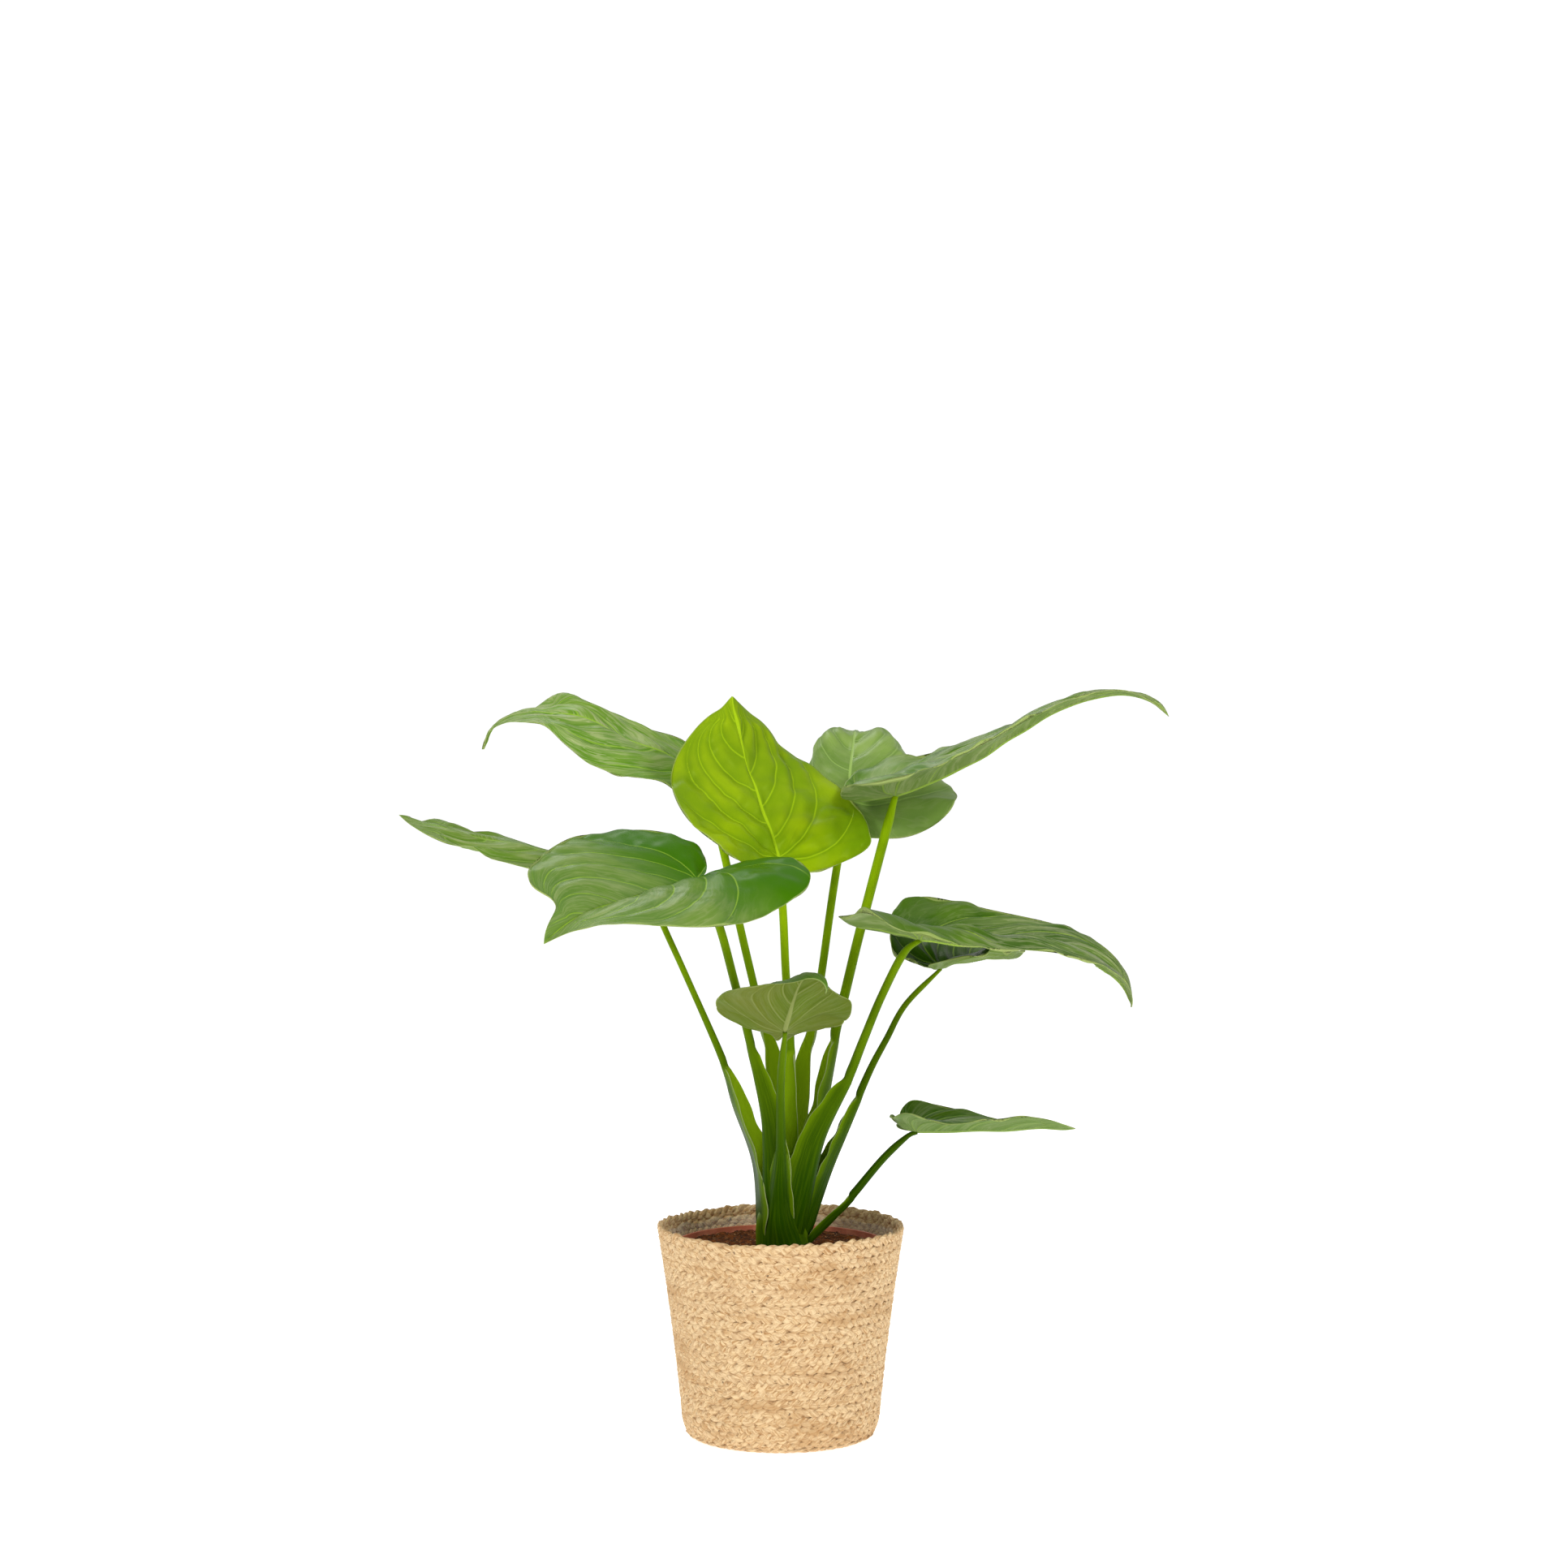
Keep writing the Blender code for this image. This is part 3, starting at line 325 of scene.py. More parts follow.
# Colours of each leaf: upper side as a painted lit and a painted shaded green, under side, painted
# sheen and veins, then the strength of the painted sheen by the stalk and towards the tip, and how
# much painted shade darkens the lobes
LOOKS = {
    "upper_left": (
        (0.15, 0.3, 0.015), (0.07, 0.21, 0.002), (0.24, 0.33, 0.1),
        (0.6, 0.61, 0.33), (0.3, 0.5, 0.05),
        (0.3, 0.75, 0.1),
    ),
    "lower_left": (
        (0.145, 0.255, 0.025), (0.07, 0.17, 0.006), (0.22, 0.31, 0.09),
        (0.43, 0.46, 0.23), (0.27, 0.43, 0.07),
        (0.35, 0.6, 0.2),
    ),
    "front_left": (
        (0.09, 0.205, 0.006), (0.04, 0.15, 0.0003), (0.2, 0.28, 0.05),
        (0.36, 0.42, 0.17), (0.28, 0.46, 0.04),
        (0.0, 0.9, 0.9),
    ),
    "young": (
        (0.27, 0.41, 0.0), (0.125, 0.25, 0.0), (0.34, 0.48, 0.01),
        (0.46, 0.56, 0.05), (0.36, 0.54, 0.01),
        (0.15, 0.3, 0.0),
    ),
    "back": (
        (0.22, 0.37, 0.05), (0.1, 0.22, 0.015), (0.22, 0.33, 0.1),
        (0.4, 0.46, 0.22), (0.32, 0.48, 0.12),
        (0.6, 0.5, 0.55),
    ),
    "upper_right": (
        (0.14, 0.27, 0.02), (0.045, 0.14, 0.001), (0.16, 0.25, 0.05),
        (0.58, 0.6, 0.33), (0.3, 0.46, 0.06),
        (0.3, 0.75, 0.3),
    ),
    "right": (
        (0.1, 0.2, 0.012), (0.03, 0.1, 0.001), (0.17, 0.26, 0.06),
        (0.56, 0.58, 0.32), (0.32, 0.48, 0.06),
        (0.15, 0.65, 0.4),
    ),
    # painted shade: this leaf's cupped blade sits in shade, so all its greens are darker
    "right_back": (
        (0.045, 0.115, 0.0005), (0.015, 0.055, 0.0), (0.14, 0.23, 0.04),
        (0.42, 0.46, 0.24), (0.16, 0.26, 0.03),
        (0.03, 0.15, 0.3),
    ),
    "front_small": (
        (0.1, 0.22, 0.01), (0.05, 0.15, 0.001), (0.13, 0.16, 0.015),
        (0.3, 0.33, 0.15), (0.25, 0.29, 0.09),
        (0.2, 0.4, 0.0),
    ),
    "low_small": (
        (0.06, 0.13, 0.004), (0.022, 0.085, 0.0), (0.15, 0.25, 0.06),
        (0.42, 0.46, 0.25), (0.26, 0.38, 0.09),
        (0.3, 0.5, 0.2),
    ),
}


def add_piece(name, shape, values, finish, nodes=()):
    """A piece from (points in mm, quads, triangles) that rides on the root and stands for CAD nodes.

    values holds one number per point for each named value.
    """
    points, quads, triangles = shape
    mesh = bpy.data.meshes.new(name)
    corners = np.concatenate([np.ravel(quads), np.ravel(triangles)]).astype(np.int32)
    sizes = np.concatenate([np.full(len(quads), 4), np.full(len(triangles), 3)])
    starts = (np.cumsum(sizes) - sizes).astype(np.int32)
    mesh.vertices.add(len(points))
    mesh.vertices.foreach_set("co", np.ravel(points * MM).astype(np.float32))
    mesh.loops.add(len(corners))
    mesh.loops.foreach_set("vertex_index", corners)
    mesh.polygons.add(len(sizes))
    mesh.polygons.foreach_set("loop_start", starts)
    mesh.polygons.foreach_set("use_smooth", np.ones(len(sizes), bool))
    mesh.update(calc_edges=True)
    for key, table in values.items():
        layer = mesh.attributes.new(key, "FLOAT", "POINT")
        layer.data.foreach_set("value", np.ravel(table).astype(np.float32))
    mesh.materials.append(finish)
    piece = bpy.data.objects.new(name, mesh)
    bpy.context.scene.collection.objects.link(piece)
    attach(piece, "root")
    if nodes:
        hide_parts(*nodes)
    return piece


def tube_faces(rows, columns, flip=False):
    """Quads of a grid of rows whose columns close into rings."""
    row, column = np.meshgrid(np.arange(rows - 1), np.arange(columns), indexing="ij")
    here = row * columns + column
    beside = row * columns + (column + 1) % columns
    quads = np.stack([here, beside, beside + columns, here + columns], axis=-1).reshape(-1, 4)
    return quads[:, ::-1] if flip else quads


def fan_faces(ring_start, columns, pole, flip=False):
    """Triangles from a ring of points to its pole."""
    column = np.arange(columns)
    here = ring_start + column
    beside = ring_start + (column + 1) % columns
    fans = np.stack([here, beside, np.full(columns, pole)], axis=-1)
    return fans[:, ::-1] if flip else fans


def closed_tube(grid, start_pole, end_pole, flip=False):
    """Points, quads and triangles of a tube of rings with a point at each end."""
    rows, columns = grid.shape[:2]
    points = np.concatenate([grid.reshape(-1, 3), [start_pole], [end_pole]])
    quads = tube_faces(rows, columns, flip)
    last = (rows - 1) * columns
    low = fan_faces(0, columns, rows * columns, not flip)
    high = fan_faces(last, columns, rows * columns + 1, flip)
    return points, quads, np.concatenate([low, high])


def closed_ring(grid):
    """Points, quads and triangles of a grid that closes on itself both ways."""
    rows, columns = grid.shape[:2]
    row, column = np.meshgrid(np.arange(rows), np.arange(columns), indexing="ij")
    next_row = (row + 1) % rows
    next_column = (column + 1) % columns
    corners = [row * columns + column, row * columns + next_column]
    corners += [next_row * columns + next_column, next_row * columns + column]
    return grid.reshape(-1, 3), np.stack(corners, axis=-1).reshape(-1, 4), NO_TRIANGLES


def joined(shapes):
    """Several closed shapes as one."""
    points, quads, triangles = [], [], []
    first = 0
    for some_points, some_quads, some_triangles in shapes:
        points.append(some_points)
        quads.append(some_quads + first)
        triangles.append(some_triangles + first)
        first += len(some_points)
    return np.concatenate(points), np.concatenate(quads), np.concatenate(triangles)


def circle(steps):
    """Angles of places spread evenly round a circle."""
    return np.arange(steps) / steps * math.tau


def distance_along(line):
    """Distance from the start of a line of points to each of them."""
    return np.concatenate([[0], np.cumsum(np.linalg.norm(np.diff(line, axis=0), axis=1))])


def looked_up(at, known, table):
    """Rows of a table at places between the known ones."""
    return np.stack([np.interp(at, known, column) for column in table.T], axis=-1)


def unit(vectors):
    """Vectors at length one."""
    return vectors / np.maximum(np.linalg.norm(vectors, axis=-1, keepdims=True), 1e-9)


def ripple(places, seed, longest, shortest, count=14):
    """Smooth random height from -1 to 1: a sum of sine waves in random directions."""
    random = np.random.default_rng(seed)
    total = np.zeros(places.shape[:-1])
    weight = 0.0
    for _ in range(count):
        length = math.exp(random.uniform(math.log(shortest), math.log(longest)))
        way = unit(random.normal(size=places.shape[-1]))
        size = (length / longest) ** 0.6
        total += size * np.sin(places @ way * math.tau / length + random.uniform(0, math.tau))
        weight += size ** 2
    return total / math.sqrt(weight) * 0.9


def ease(value):
    """Smooth step from 0 to 1."""
    t = np.clip(value, 0.0, 1.0)
    return t * t * (3 - 2 * t)


# Materials

def new_finish(name, settings):
    """A node material with its Principled shader's settings: (material, node tree, shader)."""
    made = bpy.data.materials.new(name)
    made.use_nodes = True
    tree = made.node_tree
    shader = tree.nodes["Principled BSDF"]
    for key, value in settings.items():
        shader.inputs[key].default_value = value
    return made, tree, shader


def node(tree, kind, inputs=None, **settings):
    """A shader node with its settings; inputs are numbers, colours or other nodes' sockets."""
    made = tree.nodes.new("ShaderNode" + kind)
    for key, value in settings.items():
        setattr(made, key, value)
    for key, value in (inputs or {}).items():
        if isinstance(value, bpy.types.NodeSocket):
            tree.links.new(value, made.inputs[key])
        else:
            made.inputs[key].default_value = value
    return made


def values_of(tree, *keys):
    """Named numbers that a mesh keeps at its points."""
    return [node(tree, "Attribute", attribute_name=key).outputs["Fac"] for key in keys]


def worked(tree, operation, first, second=0.0, third=0.0):
    """One step of arithmetic."""
    return node(tree, "Math", {0: first, 1: second, 2: third}, operation=operation).outputs[0]


def times(tree, first, second):
    """A product."""
    return worked(tree, "MULTIPLY", first, second)


def band(tree, value, low, high, at_low=0.0, at_high=1.0):
    """A smooth change from one number to another as a value goes from low to high."""
    inputs = {"Value": value, "From Min": low, "From Max": high, "To Min": at_low, "To Max": at_high}
    return node(tree, "MapRange", inputs, interpolation_type="SMOOTHSTEP").outputs["Result"]


def blend(tree, share, first, second):
    """Two colours mixed by a share from 0 to 1."""
    mixed = node(tree, "Mix", {0: share}, data_type="RGBA")
    for key, value in ((6, first), (7, second)):
        if isinstance(value, bpy.types.NodeSocket):
            tree.links.new(value, mixed.inputs[key])
        else:
            mixed.inputs[key].default_value = (*value, 1.0)
    return mixed.outputs[2]


def coated(tree, colour, *coats):
    """A colour under coats, each (value, low, high, share at low, share at high, coat's colour)."""
    for value, low, high, at_low, at_high, coat in coats:
        colour = blend(tree, band(tree, value, low, high, at_low, at_high), colour, coat)
    return colour


def grain(tree, vector, scale, detail=3.0, roughness=0.55):
    """Fractal noise from 0 to 1."""
    inputs = {"Vector": vector, "Scale": scale, "Detail": detail, "Roughness": roughness}
    return node(tree, "TexNoise", inputs).outputs["Fac"]


def place(tree):
    """Place on the object, in metres."""
    return node(tree, "TexCoord").outputs["Object"]


def vector(tree, x, y, z=0.0):
    """Three numbers as a vector."""
    return node(tree, "CombineXYZ", {0: x, 1: y, 2: z}).outputs[0]


def dress(tree, shader, colour, height, depth, strength=1.0):
    """Give a shader its colour and a fine relief of a depth in metres."""
    tree.links.new(colour, shader.inputs["Base Color"])
    bump = node(tree, "Bump", {"Height": height, "Distance": depth, "Strength": strength})
    tree.links.new(bump.outputs[0], shader.inputs["Normal"])


def vein_share(tree, off_vein, rim, rib):
    """How much of a place is vein: thin side veins that fade at the margin, and the midrib."""
    width = band(tree, rim, 4.0, 45.0, 0.35, 0.8)
    side = band(tree, worked(tree, "DIVIDE", off_vein, width), 0.35, 1.5, 1.0, 0.0)
    side = times(tree, side, band(tree, rim, 2.0, 12.0, 0.15, 0.65))
    return worked(tree, "MAXIMUM", side, band(tree, rib, 0.55, 1.15, 1.0, 0.0))


def painted_sheen_share(tree, run, streaks, cell, even):
    """How much painted sheen a place gets: fine streaks and wrinkles along the veins, and broad bands
    between them.
    """
    off_middle = worked(tree, "ABSOLUTE", worked(tree, "SUBTRACT", grain(tree, run, 5.0, 2.0), 0.5))
    wrinkles = band(tree, off_middle, 0.004, 0.03, 0.5, 0.0)
    fine = worked(tree, "MAXIMUM", band(tree, streaks, 0.46, 0.7, 0.0, 0.6), wrinkles)
    broad = band(tree, grain(tree, run, 2.6, 2.0), 0.38, 0.62)
    broad = times(tree, broad, band(tree, cell, 0.06, 0.3))
    sheen_share = worked(tree, "MULTIPLY_ADD", broad, 0.35, fine)
    return worked(tree, "MULTIPLY_ADD", sheen_share, 1 - even, 0.4 * even)


def leaf_finish(name, look, even):
    """Leaf skin: pale veins edged with painted shade, a painted sheen between them, a paler back and
    margin.
    """
    lit, shaded, under, sheen_colour, vein_green, (near, far, lobe_shade) = look
    sheen = {"Specular IOR Level": 0.06, "Specular Tint": (0.85, 1.0, 0.15, 1)}
    finish, tree, shader = new_finish("Leaf " + name.replace("_", " "), sheen)
    phase, gap, rim, rib = values_of(tree, "phase", "gap", "rim", "rib")
    upper, reach, ahead = values_of(tree, "upper", "reach", "ahead")
    cell = worked(tree, "PINGPONG", phase, 0.5)
    off_vein = times(tree, cell, gap)
    vein = vein_share(tree, off_vein, rim, rib)
    wander = times(tree, grain(tree, place(tree), 14.0, 2.0), 0.35)
    run = vector(tree, worked(tree, "ADD", phase, wander), times(tree, reach, 0.0035), upper)
    streaks = grain(tree, run, 9.0, 3.0, 0.55)
    blotch = grain(tree, place(tree), 16.0, 3.0, 0.5)
    sheen_share = painted_sheen_share(tree, run, streaks, cell, even)
    # the upper side varies at random between a painted lit and a painted shaded green
    skin = blend(tree, band(tree, blotch, 0.3, 0.7), shaded, lit)
    # painted shade: darker beside the sunken veins and on the lobes behind the junction
    skin = coated(
        tree, skin,
        (off_vein, 0.6, 5.0, 0.7, 0.0, shaded),
        (ahead, -0.1, 0.35, lobe_shade, 0.0, shaded),
    )
    # painted sheen: pale streaks and bands between the veins, a highlight painted into the colour
    skin = blend(tree, times(tree, sheen_share, band(tree, ahead, 0.0, 0.5, near, far)), skin, sheen_colour)
    skin = blend(tree, vein, skin, vein_green)
    # the under side takes random patches of the painted shaded green
    back = blend(tree, band(tree, blotch, 0.3, 0.75, 0.0, 0.4), under, shaded)
    # painted sheen on the under side as well
    back = blend(tree, times(tree, sheen_share, 0.35), back, sheen_colour)
    back = blend(tree, times(tree, vein, 0.9), back, vein_green)
    colour = blend(tree, band(tree, upper, 0.3, 0.7), back, skin)
    colour = coated(tree, colour, (rim, 0.2, 1.0, 0.5, 0.0, (0.42, 0.5, 0.16)))
    gloss = band(tree, upper, 0.3, 0.7, 0.5, 0.24)
    gloss = worked(tree, "ADD", gloss, band(tree, blotch, 0.3, 0.7, 0.0, 0.12))
    tree.links.new(gloss, shader.inputs["Roughness"])
    height = worked(tree, "MULTIPLY_ADD", vein, -0.4, times(tree, streaks, 1 - even))
    dress(tree, shader, colour, height, 0.001, 0.6)
    return finish


def stalk_finish(name, light, dark):
    """Stalk skin: darker and greener near the soil as painted shade, lengthwise fibres, pale thin sheath
    edges.
    """
    sheen = {"Roughness": 0.36, "Specular IOR Level": 0.06, "Specular Tint": (0.8, 1.0, 0.2, 1)}
    finish, tree, shader = new_finish("Stalk " + name, sheen)
    high, edge, inner, wing, turn = values_of(tree, "high", "edge", "inner", "wing", "turn")
    run = vector(tree, times(tree, turn, 5.0), times(tree, high, 0.006))
    fibres = grain(tree, run, 3.0, 3.0, 0.6)
    blotch = grain(tree, place(tree), 22.0, 2.0)
    # painted shade: the stalks darken towards the soil, where the clump shades them
    colour = blend(tree, band(tree, high, 60.0, 430.0), dark, light)
    colour = coated(
        tree, colour,
        (fibres, 0.4, 0.75, 0.0, 0.18, light),
        (blotch, 0.4, 0.8, 0.0, 0.35, dark),
        (wing, 0.5, 1.0, 0.0, 0.4, light),
        (inner, 0.2, 0.9, 0.0, 0.8, (0.28, 0.44, 0.006)),
        (edge, 0.55, 0.95, 0.0, 0.8, (0.42, 0.5, 0.22)),
        (high, -12.0, 14.0, 0.7, 0.0, (0.035, 0.06, 0.012)),
    )
    dress(tree, shader, colour, fibres, 0.0005, 0.6)
    return finish


def rope_finish():
    """Dry plant fibre: twisted light and dark strands, painted shade in the hollows, dark flecks."""
    finish, tree, shader = new_finish("Plaited rope", {"Roughness": 0.8})
    run, turn, proud, tone = values_of(tree, "run", "turn", "proud", "tone")
    twist = worked(tree, "ADD", times(tree, turn, 4.5), times(tree, run, 0.16))
    fibre_place = vector(tree, twist, times(tree, run, 0.05), times(tree, tone, 17.0))
    fibres = grain(tree, fibre_place, 2.4, 4.0, 0.65)
    threads = grain(tree, fibre_place, 7.0, 2.0)
    patch_place = node(tree, "Mapping", {"Vector": place(tree), "Scale": (1.0, 1.0, 3.0)}).outputs[0]
    patches = grain(tree, patch_place, 14.0, 4.0, 0.65)
    flecks = grain(tree, place(tree), 210.0, 2.0)
    straw = blend(tree, band(tree, fibres, 0.34, 0.62), (0.43, 0.22, 0.075), (0.78, 0.57, 0.315))
    straw = coated(
        tree, straw,
        (tone, 0.1, 0.9, 0.0, 0.3, (0.77, 0.59, 0.36)),
        (patches, 0.5, 0.68, 0.0, 0.6, (0.46, 0.25, 0.09)),
        # painted shade where the strands sink into the hollows of the plait
        (proud, 0.0, 0.5, 0.55, 0.0, (0.36, 0.18, 0.065)),
        (threads, 0.62, 0.72, 0.0, 0.6, (0.3, 0.14, 0.045)),
        (flecks, 0.71, 0.74, 0.0, 0.8, (0.09, 0.045, 0.02)),
    )
    dress(tree, shader, straw, fibres, 0.0012, 0.8)
    return finish


def core_finish():
    """The shaded inner face of the plaited wall."""
    finish, tree, shader = new_finish("Rope core", {"Roughness": 0.9})
    fibres = grain(tree, place(tree), 90.0, 4.0)
    colour = blend(tree, fibres, (0.36, 0.21, 0.09), (0.62, 0.41, 0.21))
    dress(tree, shader, colour, fibres, 0.001)
    return finish


def film_finish():
    """Clear crumpled film."""
    finish, tree, shader = new_finish("Clear film", {"Roughness": 0.1, "Alpha": 0.09, "IOR": 1.49})
    crumple = grain(tree, place(tree), 45.0, 3.0, 0.7)
    colour = blend(tree, crumple, (0.8, 0.82, 0.83), (0.97, 0.97, 0.96))
    dress(tree, shader, colour, crumple, 0.004, 0.7)
    return finish


def pot_finish():
    """Red-brown plastic with faint scuffs and dust."""
    finish, tree, shader = new_finish("Red-brown plastic", {})
    dust = grain(tree, place(tree), 60.0, 4.0, 0.65)
    scuffs = grain(tree, place(tree), 400.0, 2.0)
    colour = blend(tree, band(tree, dust, 0.4, 0.75), (0.5, 0.115, 0.05), (0.62, 0.2, 0.11))
    colour = coated(tree, colour, (scuffs, 0.68, 0.75, 0.0, 0.5, (0.16, 0.07, 0.035)))
    tree.links.new(band(tree, dust, 0.3, 0.8, 0.38, 0.6), shader.inputs["Roughness"])
    dress(tree, shader, colour, scuffs, 0.0002)
    return finish


def soil_finish():
    """Damp dark peat, redder where it is dry."""
    finish, tree, shader = new_finish("Potting mix", {"Roughness": 0.95, "Specular IOR Level": 0.1})
    coarse = grain(tree, place(tree), 140.0, 5.0, 0.7)
    fine = grain(tree, place(tree), 900.0, 3.0)
    colour = blend(tree, band(tree, coarse, 0.35, 0.7), (0.035, 0.01, 0.002), (0.21, 0.058, 0.01))
    colour = coated(tree, colour, (fine, 0.6, 0.8, 0.0, 0.5, (0.34, 0.14, 0.05)))
    dress(tree, shader, colour, coarse, 0.003)
    return finish


def chip_finish():
    """Bark chips and fibres, each in its own tone."""
    finish, tree, shader = new_finish("Bark and fibre", {"Roughness": 0.9})
    [tone] = values_of(tree, "tone")
    fibres = grain(tree, place(tree), 500.0, 3.0)
    colour = blend(tree, band(tree, tone, 0.0, 1.0), (0.05, 0.015, 0.004), (0.5, 0.24, 0.09))
    colour = coated(tree, colour, (fibres, 0.35, 0.7, 0.0, 0.5, (0.1, 0.04, 0.018)))
    dress(tree, shader, colour, fibres, 0.0006)
    return finish


# Basket

def wall_radius(height):
    """Outer radius of the basket at a height, as in the CAD part."""
    share = np.clip((height - BASKET_FOOT_HEIGHT) / (BASKET_TOP - BASKET_FOOT_HEIGHT), 0, 1)
    flare = BASKET_FLARE * share + (1 - BASKET_FLARE) * share ** 2
    flared = BASKET_FOOT_RADIUS + (BASKET_TOP_RADIUS - BASKET_FOOT_RADIUS) * flare
    low = np.clip(1 - height / BASKET_FOOT_HEIGHT, 0, 1)
    bend = 1 - np.sqrt(np.clip(1 - low ** 2, 0, 1))
    rounded = BASKET_FOOT_RADIUS - (BASKET_FOOT_RADIUS - BASKET_BASE_RADIUS) * bend
    return np.where(height >= BASKET_FOOT_HEIGHT, flared, rounded)


def basket_rows():
    """Rows along the outer profile from the rim to the middle of the base.

    Each row is (centre radius, centre height) and its outward direction in the same plane.
    """
    heights = np.linspace(BASKET_TOP, 0.0, 400)
    wall = np.stack([wall_radius(heights), heights], axis=-1)
    base = np.stack([np.linspace(BASKET_BASE_RADIUS, 0, 200)[1:], np.zeros(199)], axis=-1)
    profile = np.concatenate([wall, base])
    run = distance_along(profile)
    middles = np.arange(0.5 * ROW_PITCH, run[-1] - 0.4 * ROW_PITCH, ROW_PITCH)
    down = unit(looked_up(middles + 3, run, profile) - looked_up(middles - 3, run, profile))
    outward = np.stack([-down[:, 1], down[:, 0]], axis=-1)
    spots = looked_up(middles, run, profile)
    proud = ROW_PROUD * ease(spots[:, 1] / 30)
    centres = spots + outward * (proud - PLAIT_DEPTH - STRAND_HALF_DEPTH)[:, None]
    return centres, outward


def strand_unevenness(random, turn, periods):
    """Slow and quick waves round a row for each of its three strands, from -1 to 1."""
    slow = np.zeros((3, len(turn)))
    quick = np.zeros((3, len(turn)))
    waves = 6
    for _ in range(waves):
        often = random.integers(2, periods * 2, size=(3, 1))
        slow += np.sin(often * turn + random.uniform(0, math.tau, size=(3, 1))) / waves
        often = random.integers(periods, periods * 4, size=(3, 1))
        quick += np.sin(often * turn + random.uniform(0, math.tau, size=(3, 1))) / waves
    return slow, quick


def strand_points(middle, lift, swell):
    """Elliptic sections laid flat on the wall round strands, wider and thinner where they swell."""
    tangent = unit(np.roll(middle, -1, axis=1) - np.roll(middle, 1, axis=1))
    side = unit(np.cross(tangent, np.broadcast_to(lift, tangent.shape)))
    lift = np.cross(side, tangent)
    half_width = STRAND_HALF_WIDTH * (1 + 0.35 * swell)[..., None, None]
    half_depth = STRAND_HALF_DEPTH * (1 - 0.15 * swell)[..., None, None]
    lobes = np.cos(STRAND_ANGLES)[:, None] * half_width * side[:, :, None] * -1
    lobes = lobes + np.sin(STRAND_ANGLES)[:, None] * half_depth * lift[:, :, None]
    return middle[:, :, None] + lobes


def plait_row(radius, height, outward, seed, sway):
    """Points and values of one ring of three-strand plait.

    A strand at angle p sways across the row as sin p and in and out of the wall as sin 2p; the three
    strands are a third of a turn apart.
    """
    random = np.random.default_rng(seed)
    period = PLAIT_PERIOD * random.uniform(0.88, 1.14)
    periods = max(2, round(math.tau * radius / period))
    start = random.uniform(0, math.tau)
    turn = start + circle(periods * STRAND_STEPS)
    drift = np.sin(5 * turn + 2 * start) + 0.5 * np.sin(13 * turn + 3 * start)
    p = periods * turn[None, :] + np.arange(3)[:, None] * math.tau / 3 + start + drift[None, :]
    jitter, swell = strand_unevenness(random, turn, periods)
    slow, quick = random.uniform(0, 6, 2)
    bob = sway * np.sin(3 * turn + slow) + 0.5 * sway * np.sin(7 * turn + quick)
    across = PLAIT_SWAY * np.sin(p) * (1 + 0.5 * jitter) + bob[None, :] + 0.7 * jitter
    depth = PLAIT_DEPTH * np.sin(2 * p) + 0.5 * swell
    way_r, way_z = outward
    r = radius + depth * way_r - across * way_z
    z = height + depth * way_z + across * way_r
    cos, sin = np.cos(turn)[None, :], np.sin(turn)[None, :]
    middle = np.stack([r * cos, r * sin, z], axis=-1)
    lift = np.stack([way_r * cos, way_r * sin, np.full_like(cos, way_z)], axis=-1)
    points = strand_points(middle, lift, swell)
    values = {
        "run": (np.abs(turn - start - math.pi) * radius)[None, :, None],
        "turn": STRAND_ANGLES / math.tau,
        # how far each point stands out; the rope's painted shade goes by it
        "proud": np.abs(0.55 * (depth / PLAIT_DEPTH)[..., None] + 0.48 * np.sin(STRAND_ANGLES)),
        "tone": random.uniform(0, 1, size=(3, 1, 1)),
    }
    return points, {key: np.broadcast_to(table, points.shape[:3]) for key, table in values.items()}


def plait_piece(name, rows, finish):
    """Several rows of plait as one piece."""
    centres, outwards = basket_rows()
    strands = []
    tables = {"run": [], "turn": [], "proud": [], "tone": []}
    for row in rows:
        sway = RIM_SWAY if row == 0 else ROW_SWAY
        points, values = plait_row(*centres[row], outwards[row], ROW_SEED + row, sway)
        strands += [closed_ring(strand) for strand in points]
        for key, table in values.items():
            tables[key].append(np.ravel(table))
    values = {key: np.concatenate(parts) for key, parts in tables.items()}
    add_piece(name, joined(strands), values, finish, ["basket"])


def turned(name, profile, steps, finish, nodes, wobble=None):
    """A closed body of revolution from (radius, height) points whose ends lie on the axis.

    wobble, where given, moves the points of the grid once they are turned.
    """
    profile = np.array(profile, float)
    radius, height = profile[1:-1].T[:, :, None]
    turn = circle(steps)
    height = np.broadcast_to(height, (len(height), steps))
    grid = np.stack([radius * np.cos(turn), radius * np.sin(turn), height], axis=-1)
    if wobble is not None:
        grid = wobble(grid)
    ends = [(0, 0, profile[end][1]) for end in (0, -1)]
    return add_piece(name, closed_tube(grid, *ends), {}, finish, nodes)


def build_core():
    """A thin wall behind the plait, so that no light shows between the rows."""
    heights = np.linspace(*CORE_HEIGHTS, 24)
    outer = [(wall_radius(z) - CORE_OUTSIDE, z) for z in heights]
    inner = [(wall_radius(z) - CORE_INSIDE, z) for z in heights[::-1]]
    under, over = CORE_FLOOR
    profile = [(0, under), (CORE_FLOOR_RADIUS, under)] + outer[::-1] + inner[::-1]
    profile += [(CORE_FLOOR_RADIUS, over), (0, over)]
    turned("basket_core", profile, CORE_STEPS, core_finish(), ["basket"])


